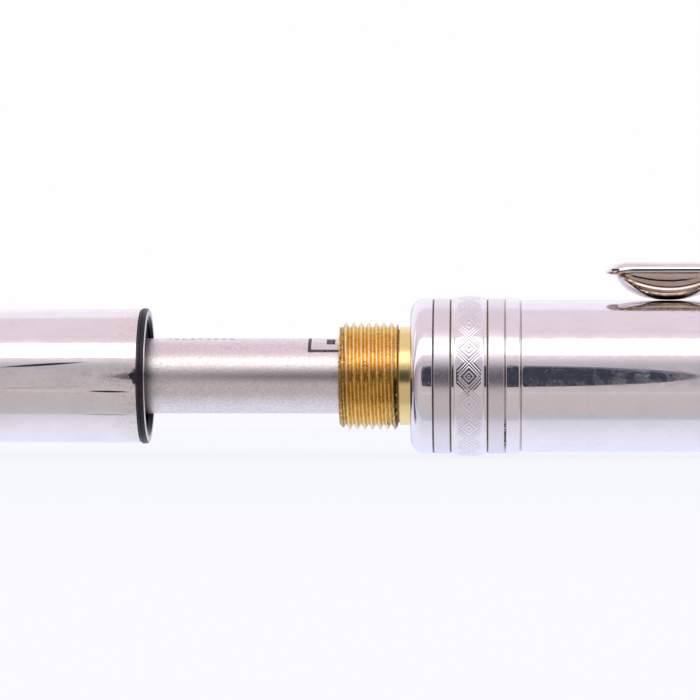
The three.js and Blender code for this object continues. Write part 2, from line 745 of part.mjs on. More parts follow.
// Threaded bush in the barrel's mouth, its thin end flange showing past the gasket.
// Its thread is cut from a smaller core, and a relief lies behind the thread.
function makeBarrelBush() {
  const grooveRadius = bushBore + FEMALE_THREAD_DEPTH;
  const blank = solid(turned([
    [-BUSH_LENGTH, grooveRadius + FIT],
    [-BUSH_LENGTH, bushRadius],
    [-BUSH_FLANGE_THICKNESS, bushRadius],
    [-BUSH_FLANGE_THICKNESS, barrelRadius - BUSH_FLANGE_INSET],
    [0, barrelRadius - BUSH_FLANGE_INSET],
    [0, REFILL_RADIUS],
    [-FEMALE_THREAD_LENGTH, REFILL_RADIUS],
    [-FEMALE_THREAD_LENGTH, grooveRadius + FIT],
  ], INNER_SIDES));
  const tap = threadedRod(
    -FEMALE_THREAD_LENGTH, 0, bushBore, grooveRadius, THREAD_FIRST_CREST + SEAT_GAP, INNER_SIDES,
  );
  return geometryOf(blank.subtract(tap));
}

function makeBarrelShell() {
  const outside = stations(shellMouth, shellEnd, SHELL_TAPER_STEPS);
  const inside = stations(shellEnd, -BUSH_LENGTH - FIT, SHELL_INSIDE_STEPS);
  return turned([
    [shellMouth, bushRadius + FIT],
    ...outside.map((x) => [x, barrelRadiusAt(x)]),
    ...inside.map((x) => [x, barrelRadiusAt(x) - SHELL_WALL]),
    [-BUSH_LENGTH - FIT, bushRadius + FIT],
  ], OUTER_SIDES);
}

// Nose cone: a spigot pressed into the skin, a bellied cone, and the hole for the point
function makeNoseCone() {
  const spigotEndPlace = noseStart + NOSE_SPIGOT_LENGTH;
  const baseRadius = shellEndRadius - NOSE_SHOULDER;
  const endRadius = noseHole + NOSE_END_WALL;
  const cone = stations(0, 1, NOSE_STEPS).map((share) => [
    noseStart - NOSE_LENGTH * share,
    baseRadius - (baseRadius - endRadius) * share ** NOSE_BELLY,
  ]);
  return turned([
    [spigotEndPlace, noseSpigotRadius - NOSE_SPIGOT_WALL],
    [spigotEndPlace, noseSpigotRadius],
    [noseStart, noseSpigotRadius],
    ...cone,
    [noseEnd, noseHole],
    [noseHoleStart, noseHole],
    [noseHoleStart, noseGuideRadius + FIT],
    [noseGuideEnd, noseGuideRadius + FIT],
    [noseGuideEnd, noseSpigotRadius - NOSE_SPIGOT_WALL],
  ], OUTER_SIDES);
}

const drawnOff = new THREE.Group();
drawnOff.position.x = -DRAWN_OFF;

const pen = new THREE.Group();
pen.add(drawnOff);

function addPiece(name, geometry, material, holder = pen) {
  const mesh = new THREE.Mesh(geometry, material);
  mesh.name = name;
  holder.add(mesh);
}

// Mechanism: stays with the barrel while the cap turns
addPiece('threaded_sleeve', makeThreadedSleeve(), brass);
addPiece('drag_ring', turned([
  [DRAG_RING_START, collarRadius + FIT],
  [DRAG_RING_START, linerBore - DRAG_RING_EDGE_GAP],
  [DRAG_RING_START + DRAG_RING_WIDTH / 2, linerBore - RUN],
  [DRAG_RING_START + DRAG_RING_WIDTH, linerBore - DRAG_RING_EDGE_GAP],
  [DRAG_RING_START + DRAG_RING_WIDTH, collarRadius + FIT],
], INNER_SIDES), blackRubber);
addPiece('bearing_washer', tube(
  spigotStart + FIT, spigotStart + FIT + WASHER_THICKNESS, guideRadius + FIT, camRadius, INNER_SIDES,
), greyPlastic);
addPiece('guide_tube', makeGuideTube(), springSteel);
addPiece('snap_ring', tube(
  camEnd + SEAM, camEnd + SEAM + SNAP_RING_WIDTH, guideRadius + FIT, guideRadius + SNAP_RING_HEIGHT,
  INNER_SIDES,
), springSteel);
addPiece('return_spring', makeReturnSpring(), springSteel);

// Refill and the slider that carries it
addPiece('slider', makeSlider(), greyPlastic);
addPiece('follower_pin', pillar(pinPlace, pinFoot, camRadius, PIN_RADIUS), springSteel);
addPiece('refill_tube', tube(
  refillFront, REFILL_REAR, refillBore, REFILL_RADIUS, INNER_SIDES,
), satinSteel);
addPiece('refill_plug', rod(
  REFILL_REAR - REFILL_PLUG_LENGTH, REFILL_REAR, refillBore - FIT, INNER_SIDES,
), greyPlastic);
addPiece('ink_column', rod(inkFront, inkFront + INK_LENGTH, refillBore - FIT, INNER_SIDES), inkPaste);
addPiece('refill_neck', makeRefillNeck(), satinSteel);
addPiece('refill_tip', makeRefillTip(), brass);
addPiece('writing_ball', makeWritingBall(), springSteel);

// Cap: everything that turns with the clip
addPiece('lip_ring', makeLipRing(), polishedSteel);
addPiece('front_satin_ring', makeTrimRing(
  frontSatinStart, frontSatinStart + SATIN_RING_WIDTH, ringBore, ringRadius,
), satinSteel);
addPiece('centre_band', makeCentreBand(), polishedSteel);
addPiece('rear_satin_ring', makeTrimRing(
  rearSatinStart, rearSatinStart + SATIN_RING_WIDTH, ringBore, ringRadius,
), satinSteel);
addPiece('body_ring', makeTrimRing(
  bodyRingStart, bodyRingStart + BODY_RING_WIDTH, ringBore, ringRadius,
), polishedSteel);
addPiece('cap_liner', tube(linerStart, linerEnd, linerBore, linerRadius, INNER_SIDES), brass);
addPiece('cap_body', makeCapBody(), polishedSteel);
addPiece('cam_sleeve', makeCamSleeve(), brass);
addPiece('anchor_plug', tube(
  anchorEnd - ANCHOR_LENGTH, anchorEnd, screwHole, capRadiusAt(anchorEnd) - CAP_WALL - FIT, INNER_SIDES,
), brass);
addPiece('clip', makeClip(), warmNickel);
addPiece('clip_keel', makeClipKeel(), warmNickel);
addPiece('finial_washer', tube(
  finialWasherStart, finialWasherStart + FINIAL_WASHER_WIDTH, screwHole, finialBaseRadius - RING_EDGE,
  OUTER_SIDES,
), blackRubber);
addPiece('finial_base', makeTrimRing(
  finialBaseStart, finialBaseStart + FINIAL_BASE_WIDTH, screwHole, finialBaseRadius,
), satinSteel);
addPiece('finial_dome', makeFinialDome(), polishedSteel);
addPiece('finial_inlay', rod(
  domeEnd - INLAY_THICKNESS, domeEnd, INLAY_RADIUS, OUTER_SIDES,
), satinSteel);
addPiece('finial_screw', rod(
  anchorEnd - ANCHOR_LENGTH - SCREW_TAIL, domeStart + DOME_HOLE_DEPTH - FIT, SCREW_RADIUS, INNER_SIDES,
), springSteel);

// Barrel: screws onto the sleeve, drawn off in this pose
addPiece('mouth_gasket', tube(
  gasketEnd - GASKET_THICKNESS, gasketEnd, bushRadius + FIT, barrelRadius + GASKET_PROUD, OUTER_SIDES,
), blackRubber, drawnOff);
addPiece('barrel_bush', makeBarrelBush(), satinSteel, drawnOff);
addPiece('barrel_shell', makeBarrelShell(), polishedSteel, drawnOff);
addPiece('nose_ring', makeTrimRing(
  noseRingEnd - NOSE_RING_WIDTH, noseRingEnd, noseSpigotRadius + FIT, shellEndRadius + NOSE_RING_PROUD,
), satinSteel, drawnOff);
addPiece('nose_cone', makeNoseCone(), polishedSteel, drawnOff);
addPiece('nose_guide', tube(
  noseHoleStart + FIT, noseGuideEnd - FIT, noseHole, noseGuideRadius, INNER_SIDES,
), greyPlastic, drawnOff);

// The origin is the middle of the pen's length, on the surface that it lies on
const bounds = new THREE.Box3().setFromObject(pen);
pen.position.set(-(bounds.min.x + bounds.max.x) / 2, 0, -bounds.min.z);

export default pen;
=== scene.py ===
"""Looks, light and camera of a twist-action ballpoint pen with its barrel drawn off.

Sizes in this file are millimetres along and round the pen's axis, measured from the seat
plane where the closed barrel meets the cap; they become metres when a mesh is made.
"""

import math

import bmesh
import bpy
import numpy as np
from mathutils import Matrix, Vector


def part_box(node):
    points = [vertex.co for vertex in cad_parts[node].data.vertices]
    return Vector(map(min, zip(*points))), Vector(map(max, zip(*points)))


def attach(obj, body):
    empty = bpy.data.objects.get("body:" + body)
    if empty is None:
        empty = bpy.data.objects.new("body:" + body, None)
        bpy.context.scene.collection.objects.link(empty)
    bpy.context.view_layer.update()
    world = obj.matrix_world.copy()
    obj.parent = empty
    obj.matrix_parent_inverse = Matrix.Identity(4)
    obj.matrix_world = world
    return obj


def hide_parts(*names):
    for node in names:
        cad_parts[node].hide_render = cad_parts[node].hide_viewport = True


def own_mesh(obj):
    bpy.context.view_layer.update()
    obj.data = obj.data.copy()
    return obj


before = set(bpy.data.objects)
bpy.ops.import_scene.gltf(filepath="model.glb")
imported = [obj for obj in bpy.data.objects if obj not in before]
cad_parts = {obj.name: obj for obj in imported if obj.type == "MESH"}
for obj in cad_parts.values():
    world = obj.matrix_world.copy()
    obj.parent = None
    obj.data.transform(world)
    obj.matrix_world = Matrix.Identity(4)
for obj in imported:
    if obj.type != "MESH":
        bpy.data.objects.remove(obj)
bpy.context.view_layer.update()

MM = 0.001
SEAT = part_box("lip_ring")[0].x
AXIS = (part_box("centre_band")[0].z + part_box("centre_band")[1].z) / 2
# How far the barrel is drawn off, and how far the refill feeds
DRAWN_OFF = 20.8

# Radii and places that the CAD solids share
REFILL = 2.98
SLEEVE_BORE = 3.08
THREAD_ROOT = 3.87
THREAD_CREST = 4.25
COLLAR = 3.90
RING_BORE = 5.17
RING = 6.14
BAND = 6.33
CAP = 5.99
CAP_TOP = 5.00
BARREL = 5.29
BARREL_END = 4.25
PITCH = 0.6
FIRST_CREST = -5.143
SHELL_BORE = 4.89
SCREW_HOLE = 1.49
CLIP_UNDER = 8.17
CLIP_TOP = 9.0
BAND_START, BAND_END = 3.23, 6.01

# Finer forms: the groove along the arm, the band's crown and the mouth of the barrel's bush
GROOVE_LOW, GROOVE_HIGH = 8.345, 8.435
BAND_MIDDLE = (BAND_START + BAND_END) / 2
BAND_RIM, BAND_SHOULDER = 0.20, 0.20
HALF_CROWN = (BAND_END - BAND_START) / 2 - BAND_RIM - BAND_SHOULDER
CROWN_RADIUS = 5.3
BUSH_BORE = 4.86

SIDES = 192
ROUND = np.arange(SIDES) * 2 * math.pi / SIDES
SHARP = math.radians(38)


# Mesh helpers

def revolved(rows, sides=SIDES):
    """Vertices and faces of a body of revolution. A row is (place, radius), and the radius may
    be an array with one value for each side. Rows close on themselves, or end on the axis."""
    angles = np.arange(sides) * 2 * math.pi / sides
    points, starts = [], []
    for place, radius in rows:
        starts.append(len(points))
        if np.isscalar(radius) and radius <= 0:
            points.append((place, 0.0, 0.0))
            continue
        ring = np.broadcast_to(np.asarray(radius, float), (sides,))
        points.extend(zip(np.full(sides, place), -ring * np.sin(angles), ring * np.cos(angles)))
    faces = []
    on_axis = [np.isscalar(radius) and radius <= 0 for _, radius in rows]
    closed = not on_axis[0]
    for i in range(len(rows) if closed else len(rows) - 1):
        j = (i + 1) % len(rows)
        a, b = starts[i], starts[j]
        for k in range(sides):
            n = (k + 1) % sides
            if on_axis[i]:
                faces.append((a, b + k, b + n))
            elif on_axis[j]:
                faces.append((a + k, b, a + n))
            else:
                faces.append((a + k, b + k, b + n, a + n))
    return np.array(points), faces


def piece(name, parts, body, node, material, shift=0.0, sharp=SHARP):
    """A smooth mesh from several (points, faces), in the row frame, with the body that it rides
    on, the CAD node that it stands for, and its finish."""
    points, faces, count = [], [], 0
    for part_points, part_faces in parts:
        points.append(part_points)
        faces.extend(tuple(v + count for v in face) for face in part_faces)
        count += len(part_points)
    points = np.concatenate(points) * MM
    points += (SEAT + shift * MM, 0, AXIS)
    mesh = bpy.data.meshes.new(name)
    mesh.from_pydata(points.tolist(), [], faces)
    work = bmesh.new()
    work.from_mesh(mesh)
    bmesh.ops.recalc_face_normals(work, faces=work.faces)
    for face in work.faces:
        face.smooth = True
    for edge in work.edges:
        edge.smooth = len(edge.link_faces) == 2 and edge.calc_face_angle() < sharp
    work.to_mesh(mesh)
    work.free()
    mesh.materials.append(material)
    obj = bpy.data.objects.new(name, mesh)
    bpy.context.scene.collection.objects.link(obj)
    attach(obj, body)
    if node:
        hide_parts(node)
    return obj


def filleted(corners, steps=4):
    """A closed outline of (place, radius, fillet) corners with each corner rounded. A holding
    point beside each round keeps the shading of the straight runs flat."""
    outline, hold = [], 0.02
    count = len(corners)
    for i, (place, radius, fillet) in enumerate(corners):
        here = np.array((place, radius))
        if fillet <= 0:
            outline.append((place, radius))
            continue
        before = np.array(corners[i - 1][:2]) - here
        after = np.array(corners[(i + 1) % count][:2]) - here
        room = min(np.linalg.norm(before), np.linalg.norm(after)) / 2
        before /= np.linalg.norm(before)
        after /= np.linalg.norm(after)
        half = math.acos(np.clip(before @ after, -1, 1)) / 2
        reach = fillet / math.tan(half)
        middle = (before + after) / np.linalg.norm(before + after)
        centre = here + middle * fillet / math.sin(half)
        start, end = here + before * reach - centre, here + after * reach - centre
        turn = math.acos(np.clip(start @ end / fillet ** 2, -1, 1))
        if reach + hold < room:
            outline.append(tuple(here + before * (reach + hold)))
        for step in range(steps + 1):
            share = step / steps
            mixed = start * math.sin((1 - share) * turn) + end * math.sin(share * turn)
            outline.append(tuple(centre + mixed / math.sin(turn)))
        if reach + hold < room:
            outline.append(tuple(here + after * (reach + hold)))
    return outline


def stations(start, end, count):
    return np.linspace(start, end, count + 1).tolist()


def turned(name, corners, body, node, material, shift=0.0):
    """A piece of revolution from its corners."""
    return piece(name, [revolved(filleted(corners))], body, node, material, shift)


# Node helpers. They add to the node tree that is being built.

building = None


def start_tree(owner):
    """Turns to the node tree of a material or a world, which the helpers then add to."""
    global building
    owner.use_nodes = True
    building = owner.node_tree
    return building.nodes


def new_material(name):
    material = bpy.data.materials.new(name)
    return material, start_tree(material)["Principled BSDF"]


def connect(value, socket):
    """Links a node's output to the socket, or writes a number, a vector or a colour there."""
    if isinstance(value, bpy.types.NodeSocket):
        building.links.new(value, socket)
    else:
        socket.default_value = (*value, 1.0) if socket.type == "RGBA" else value


def add(kind, inputs=None, **settings):
    node = building.nodes.new("ShaderNode" + kind)
    for key, value in settings.items():
        setattr(node, key, value)
    for key, value in (inputs or {}).items():
        connect(value, node.inputs[key])
    return node


def calc(operation, a, b=0.0, c=0.0):
    return add("Math", {0: a, 1: b, 2: c}, operation=operation).outputs[0]


def times(first, *others):
    """The product of all the values."""
    for other in others:
        first = calc("MULTIPLY", first, other)
    return first


def most(first, *others):
    """The largest of the values."""
    for other in others:
        first = calc("MAXIMUM", first, other)
    return first


def plus(a, b):
    return calc("ADD", a, b)


def minus(a, b):
    return calc("SUBTRACT", a, b)


def size_of(value):
    return calc("ABSOLUTE", value)


def within(value, low, high):
    """1 where the value lies between low and high."""
    return calc("COMPARE", value, (low + high) / 2, (high - low) / 2)


def fade(value, low, high, out_low=0.0, out_high=1.0):
    node = add("MapRange", {
        "Value": value, "From Min": low, "From Max": high, "To Min": out_low, "To Max": out_high,
    })
    return node.outputs["Result"]


def fall(value, low, high):
    return fade(value, low, high, 1.0, 0.0)


def window(value, rise, full, high, gone):
    """Fades in from rise to full, and out again from high to gone."""
    return times(fade(value, rise, full), fall(value, high, gone))


def blend(share, first, second):
    return add("Mix", {0: share, 6: first, 7: second}, data_type="RGBA").outputs[2]


def grain(vector, scale, detail=2.0, roughness=0.5):
    return add("TexNoise", {
        "Vector": vector, "Scale": scale, "Detail": detail, "Roughness": roughness,
    }).outputs["Fac"]


def patchy(vector, noise, low, high, out_low=0.0, out_high=1.0):
    """Patches of noise, which is given as its scale, detail and roughness."""
    return fade(grain(vector, *noise), low, high, out_low, out_high)


def place_nodes():
    """Millimetre coordinates on the pen: the vector, the place along the axis, and the angle
    round it, in degrees, from the top towards the front."""
    coords = add("TexCoord").outputs["Object"]
    moved = add("VectorMath", {0: coords, 1: (-SEAT, 0, -AXIS)}, operation="ADD").outputs[0]
    vector = add("VectorMath", {0: moved, "Scale": 1 / MM}, operation="SCALE").outputs[0]
    split = add("SeparateXYZ", {0: vector})
    angle = calc("ARCTAN2", times(split.outputs[1], -1.0), split.outputs[2])
    return vector, split.outputs[0], times(angle, 180 / math.pi)


def radius_nodes(vector):
    """Distance from the pen's axis."""
    split = add("SeparateXYZ", {0: vector})
    squares = [times(split.outputs[i], split.outputs[i]) for i in (1, 2)]
    return calc("SQRT", plus(*squares))


def stretched(vector, factors, turn=(0, 0, 0)):
    return add("Mapping", {"Vector": vector, "Scale": factors, "Rotation": turn}).outputs[0]


def bumped(shader, height, strength, microns=4):
    node = add("Bump", {"Height": height, "Strength": strength, "Distance": microns * 1e-6})
    connect(node.outputs[0], shader.inputs["Normal"])


def wire(shader, values):
    for name, value in values.items():
        connect(value, shader.inputs[name])


def srgb(red, green, blue):
    """Linear colour of an 8-bit screen colour."""
    values = []
    for value in (red, green, blue):
        value /= 255
        values.append(value / 12.92 if value <= 0.04045 else ((value + 0.055) / 1.055) ** 2.4)
    return values


# Materials

# Hairline scratches: turn, how much finer they are across than along, and scale
HAIRLINES = (((0, 0, 0.5), 26, 1.1), ((0.4, 0.3, -0.7), 30, 1.5), ((0.1, -0.6, 1.2), 24, 0.9))
# Middle of the groove that holds dirt
DIRTY_GROOVE = 7.44
# Printed frame on the refill: its end along the axis, and its lower edge in degrees
FRAME_END = -8.10
FRAME_EDGE = 51.0


def hairlines(vector):
    """Fine scratches in several directions: 1 on a scratch, 0 elsewhere."""
    layers = []
    for turn, squeeze, scale in HAIRLINES:
        lines = stretched(vector, (1.0, squeeze, squeeze), turn)
        ridge = size_of(minus(grain(lines, scale, 1.0), 0.5))
        line = fall(ridge, 0.0, 0.012)
        layers.append(times(line, patchy(vector, (0.8 * scale, 2.0), 0.5, 0.62)))
    return most(*layers)


def wisp(place, angle, start, end, first_angle, last_angle, thick):
    """A thin mark along the axis, widest in its middle: 1 inside it, 0 outside."""
    share = fade(place, start, end)
    middle = fade(place, start, end, first_angle, last_angle)
    swell = times(share, minus(1.0, share), 4.0)
    off = size_of(minus(angle, middle))
    return fade(minus(times(swell, thick), off), 0.0, 0.45 * thick)


def polished_metal(name, bright, dull, smooth=0.035, worn=0.10, marks=None, dusty=1.0):
    """Mirror finish with clouds, hairline scratches and dust. marks adds what is special to one
    piece: it gives a share and the colour that shows there."""
    material, shader = new_material(name)
    vector, place, angle = place_nodes()
    smudge = patchy(vector, (0.35, 4.0, 0.6), 0.42, 0.68)
    colour = blend(smudge, bright, dull)
    scratches = hairlines(vector)
    rubbing = stretched(vector, (0.7, 1.6, 1.6), (0.3, 0.2, 0.5))
    scuffed = patchy(rubbing, (1.3, 5.0, 0.7), 0.56, 0.72, 0.0, 0.55)
    worked = most(times(scratches, 0.55), scuffed)
    colour = blend(worked, colour, [v * 0.90 for v in dull])
    specks = patchy(vector, (8.0, 2.0, 0.7), 0.64, 0.72)
    wiping = stretched(vector, (1.4, 4, 4), (0.2, 0.5, -0.6))
    streaks = patchy(wiping, (2.2, 3.0, 0.75), 0.60, 0.70)
    dust = most(times(specks, 0.28 * dusty), times(streaks, 0.03 * dusty), times(scratches, 0.07))
    fine = grain(stretched(vector, (0.6, 9, 9)), 6.0, 2.0)
    rough = fade(smudge, 0.0, 1.0, smooth, (smooth + worn) / 2)
    rough = plus(rough, times(scratches, worn))
    for share, mark in marks(vector, place, angle) if marks else ():
        colour = blend(share, colour, mark)
        rough = plus(rough, times(share, 0.15))
    wire(shader, {"Base Color": colour, "Metallic": minus(1.0, dust), "Roughness": rough})
    bumped(shader, minus(times(fine, 0.12), scratches), 0.25)
    return material


def seam_dirt_and_painted_reflection(vector, place, angle):
    """Dirt packed low in the groove behind the rear satin ring, and a painted dark reflection on
    the round of the lip."""
    near = fall(size_of(minus(place, DIRTY_GROOVE)), 0.07, 0.13)
    packed = times(window(angle, 122.0, 128.0, 150.0, 160.0), near,
                   patchy(vector, (7.0, 3.0, 0.7), 0.40, 0.50))
    # Painted reflection: a dark navy mark on the round of the lip ring
    painted_lip_reflection = times(window(angle, 90.0, 93.0, 112.0, 119.0), window(place, 0.04, 0.07, 0.17, 0.23))
    return [(packed, (0.030, 0.014, 0.012)), (painted_lip_reflection, (0.028, 0.025, 0.065))]


def engraved(vector, place, angle):
    """The cut lines of the band's ornament are duller than its crown."""
    across = minus(place, BAND_MIDDLE)
    crown = minus(BAND, times(across, across, 0.5 / CROWN_RADIUS))
    depth = minus(crown, radius_nodes(vector))
    on_crown = fall(size_of(across), HALF_CROWN - 0.05, HALF_CROWN - 0.02)
    worn = patchy(vector, (2.5, 3.0, 0.6), 0.35, 0.65, 0.35, 0.85)
    return [(times(fade(depth, 0.004, 0.020), on_crown, worn), (0.60, 0.57, 0.60))]


def painted_arm_shade(vector, place, angle):
    """Painted shade: a nearly black line in the narrow groove along the arm and at its nose, a dark
    line with painted golden glints in the joint with the keel, a darker streaked underside, and a
    darker inner ply."""
    split = add("SeparateXYZ", {0: vector})
    height, aside = split.outputs[2], size_of(split.outputs[1])
    outside = fade(aside, 0.75, 0.85)
    # Painted shade: the groove along the arm and a spot at the nose are coloured nearly black
    groove = times(within(height, GROOVE_LOW - 0.03, GROOVE_HIGH + 0.02), outside,
                   fade(place, 17.25, 17.55))
    tip = times(within(height, 8.30, 8.46), fall(place, 16.40, 16.55), fade(place, 15.80, 15.90))
    # Painted shade with painted golden glints along the joint with the keel
    joint = times(fall(height, 8.165, 8.185), fade(height, 8.04, 8.07))
    # Painted shade: the inner ply under the folded edge is darker
    inner_ply = times(within(height, 8.16, 8.33), outside)
    painted_joint_shade_and_glints = blend(patchy(vector, (4.0, 3.0, 0.7), 0.46, 0.54),
                     (0.10, 0.05, 0.02), (0.80, 0.55, 0.30))
    # Painted shade on the arm's underside near the nose, which the cap reflects
    lowest = times(fall(height, 8.19, 8.23), fall(aside, 0.95, 1.15), fade(place, 15.5, 15.7))
    streaky = stretched(vector, (0.5, 4, 4))
    painted_underside_shade = blend(patchy(streaky, (1.0, 3.0, 0.6), 0.44, 0.58),
                    (0.10, 0.060, 0.045), (0.62, 0.45, 0.36))
    return [
        (times(lowest, 0.9), painted_underside_shade),
        (times(inner_ply, 0.25), (0.60, 0.50, 0.43)),
        (times(joint, outside, 0.9), painted_joint_shade_and_glints),
        (most(groove, tip), (0.020, 0.014, 0.016)),
    ]


# The keel's lower edge is about KEEL_LOWEST + KEEL_SWEEP times the square of the way from its
# middle, and its widest line runs likewise
KEEL_MIDDLE = 20.4
KEEL_LOWEST, KEEL_SWEEP = 6.03, 0.136
KEEL_WIDEST, WIDEST_SWEEP = 6.74, 0.07
# Painted reflections, dark lines along the keel's flank: lowest height, sweep, half thickness,
# strength, and the places along it between which the line shows
KEEL_PAINTED_LINES = (
    (7.535, 0.046, 0.075, 1.0, 17.2, 22.8), (7.03, 0.070, 0.052, 0.95, 17.5, 23.6),
    (6.57, 0.070, 0.032, 0.7, 19.2, 21.4), (KEEL_LOWEST, KEEL_SWEEP, 0.065, 0.95, 17.1, 23.6),
)


def keel_marks(vector, place, angle):
    """Painted light on the keel: dark lines along its flank for reflections, a lighter top, painted
    shade with golden glints over its lower edge and black near the cap, a painted bright rim and
    a painted highlight band.
    """
    height = add("SeparateXYZ", {0: vector}).outputs[2]
    off = minus(place, KEEL_MIDDLE)
    squared = times(off, off)
    wavy = times(minus(grain(vector, 1.6, 3.0, 0.6), 0.5), 0.06)

    def curved(low, sweep):
        return plus(low, times(squared, sweep))

    above = minus(height, curved(KEEL_LOWEST, KEEL_SWEEP))
    streaky = stretched(vector, (0.8, 6, 6))
    glints = patchy(stretched(vector, (1.2, 3, 3)), (1.6, 2.0, 0.6), 0.58, 0.63)
    # Painted shade with painted golden glints over the keel's lower edge
    painted_shade_and_glints = blend(glints, (0.12, 0.075, 0.055), (0.80, 0.58, 0.30))
    near_middle = fall(size_of(off), 0.5, 1.3)
    # Painted shade: black where the keel comes closest to the cap
    black = times(fall(above, 0.16, 0.34), near_middle)
    # Painted highlight: a pale rim towards both ends of the keel
    bright = times(fade(above, -0.06, -0.10), minus(1.0, near_middle), 0.85)
    under = minus(curved(*KEEL_PAINTED_LINES[1][:2]), height)
    # Painted highlight: a pale band under the second dark line
    rubbing_and_painted_highlight = times(window(under, 0.04, 0.10, 0.22, 0.34), fade(place, 17.6, 18.3),
                   fall(place, 21.4, 22.6), 0.6)
    marks = [
        (patchy(streaky, (1.5, 4.0, 0.7), 0.50, 0.66, 0.0, 0.55), (0.36, 0.25, 0.18)),
        # Painted light: the keel is lighter towards its top
        (times(fade(height, 7.7, 7.95), 0.5), (0.76, 0.67, 0.61)),
        (times(fall(above, 0.22, 0.52), 0.85), painted_shade_and_glints),
        (black, (0.012, 0.008, 0.010)), (bright, (0.93, 0.90, 0.93)),
        (rubbing_and_painted_highlight, (0.80, 0.69, 0.70)),
    ]
    # Painted reflections: the dark lines along the flank
    for low, sweep, thick, strength, start, end in KEEL_PAINTED_LINES:
        apart = size_of(minus(height, plus(curved(low, sweep), wavy)))
        share = times(fade(apart, thick * 0.6, thick * 1.3, strength, 0.0),
                      fade(place, start, start + 0.4), fall(place, end - 1.2, end))
        marks.append((share, (0.016, 0.010, 0.010)))
    return marks


def barrel_wear_and_painted_reflections(vector, place, angle):
    """Painted reflections as dark wisps along the barrel, worn places between them, and tarnish
    beside the gasket.
    """
    moved = plus(place, DRAWN_OFF)
    # Painted reflections: the dark, faint and low wisps along the barrel
    dark = most(wisp(moved, angle, -11.8, -4.2, 82.6, 77.6, 1.25),
                wisp(moved, angle, -4.7, -0.8, 102.6, 103.4, 1.0))
    faint = wisp(moved, angle, -13.5, -3.0, 101.0, 98.0, 0.7)
    low = wisp(moved, angle, -5.2, -0.6, 124.6, 125.0, 0.6)
    rubbing = stretched(vector, (1.0, 2.6, 2.6), (0.5, 0.1, 0.25))
    rubbing_and_painted_highlight = times(patchy(rubbing, (1.5, 5.0, 0.72), 0.50, 0.66),
                   window(angle, 70.0, 84.0, 104.0, 118.0), 0.6)
    mottled = patchy(vector, (4.5, 5.0, 0.75), 0.46, 0.60)
    tarnish = times(fade(moved, -2.9, -0.8), times(mottled, 0.9))
    return [
        (rubbing_and_painted_highlight, (0.74, 0.68, 0.64)),
        (tarnish, (0.77, 0.67, 0.59)),
        (times(faint, 0.22), (0.30, 0.26, 0.24)),
        (times(low, 0.7), (0.20, 0.26, 0.25)),
        (dark, (0.045, 0.035, 0.060)),
    ]


def satin_metal(name, bright, dull, roughness=0.24, along=False, bore=None, edge=0.0):
    """Brushed round the axis, or along it. A bore, given by its radius and mouth, is coloured
    nearly black inside as painted shade, and just under the given edge radius a golden painted
    highlight shows."""
    material, shader = new_material(name)
    vector, place, _ = place_nodes()
    factors = (1.2, 14, 14) if along else (10, 1.4, 1.4)
    brushed = grain(stretched(vector, factors), 2.4, 3.0, 0.65)
    speck = grain(vector, 9.0, 3.0, 0.7)
    mixed = plus(times(brushed, 0.75), times(speck, 0.25))
    colour = blend(fade(mixed, 0.4, 0.62), dull, bright)
    if bore:
        # Painted shade: the bore is coloured nearly black inside
        radius = radius_nodes(vector)
        inside = times(calc("LESS_THAN", radius, bore[0]), calc("LESS_THAN", place, bore[1]))
        dark = blend(fade(radius, bore[0] - 0.05, bore[0]), (0.008, 0.007, 0.010), (0.20, 0.19, 0.22))
        colour = blend(inside, colour, dark)
    if edge:
        # Painted highlight: a golden line just under the edge radius
        worn = fade(radius_nodes(vector), edge - 0.006, edge - 0.018)
        colour = blend(times(worn, 0.75), colour, (0.95, 0.80, 0.50))
    rough = fade(mixed, 0.3, 0.7, roughness * 1.25, roughness * 0.8)
    wire(shader, {"Base Color": colour, "Metallic": 1.0, "Roughness": rough})
    bumped(shader, mixed, 0.2)
    return material


def refill_finish():
    """Satin steel tube with a printed frame, a solid block and a row of faint bars."""
    material, shader = new_material("refill_satin_steel")
    vector, place, angle = place_nodes()
    speck = grain(stretched(vector, (5, 7, 7)), 1.0, 3.0, 0.7)
    cloud = grain(vector, 0.7, 3.0, 0.6)
    mixed = plus(times(speck, 0.85), times(cloud, 0.15))
    metal = blend(fade(mixed, 0.40, 0.60), (0.72, 0.68, 0.665), (0.88, 0.845, 0.82))
    ragged = times(minus(grain(vector, 14.0, 2.0), 0.5), 1.2)
    edge_angle = plus(size_of(angle), ragged)
    upright = times(within(place, FRAME_END, FRAME_END + 0.26), within(edge_angle, -9.0, FRAME_EDGE))
    level = times(within(place, FRAME_END, -1.0), within(edge_angle, FRAME_EDGE - 5.5, FRAME_EDGE))
    block = times(within(place, -6.65, -5.95), within(angle, 14.0, 33.0))
    printed = most(upright, level, block)
    steps = calc("FRACT", times(place, 1.6))
    bars = times(calc("LESS_THAN", steps, 0.55), within(angle, -14.0, 16.0),
                 within(place, -19.2, -14.0))
    worn = patchy(vector, (7.0, 3.0), 0.42, 0.56)
    ink = most(times(printed, fade(worn, 0.0, 1.0, 0.86, 1.0)), times(bars, worn, 0.6))
    rough = plus(fade(mixed, 0.35, 0.65, 0.39, 0.27), times(ink, 0.2))
    wire(shader, {
        "Base Color": blend(ink, metal, (0.018, 0.018, 0.028)),
        "Metallic": minus(1.0, ink), "Roughness": rough,
    })
    bumped(shader, plus(mixed, times(ink, 0.5)), 0.6, 18)
    return material


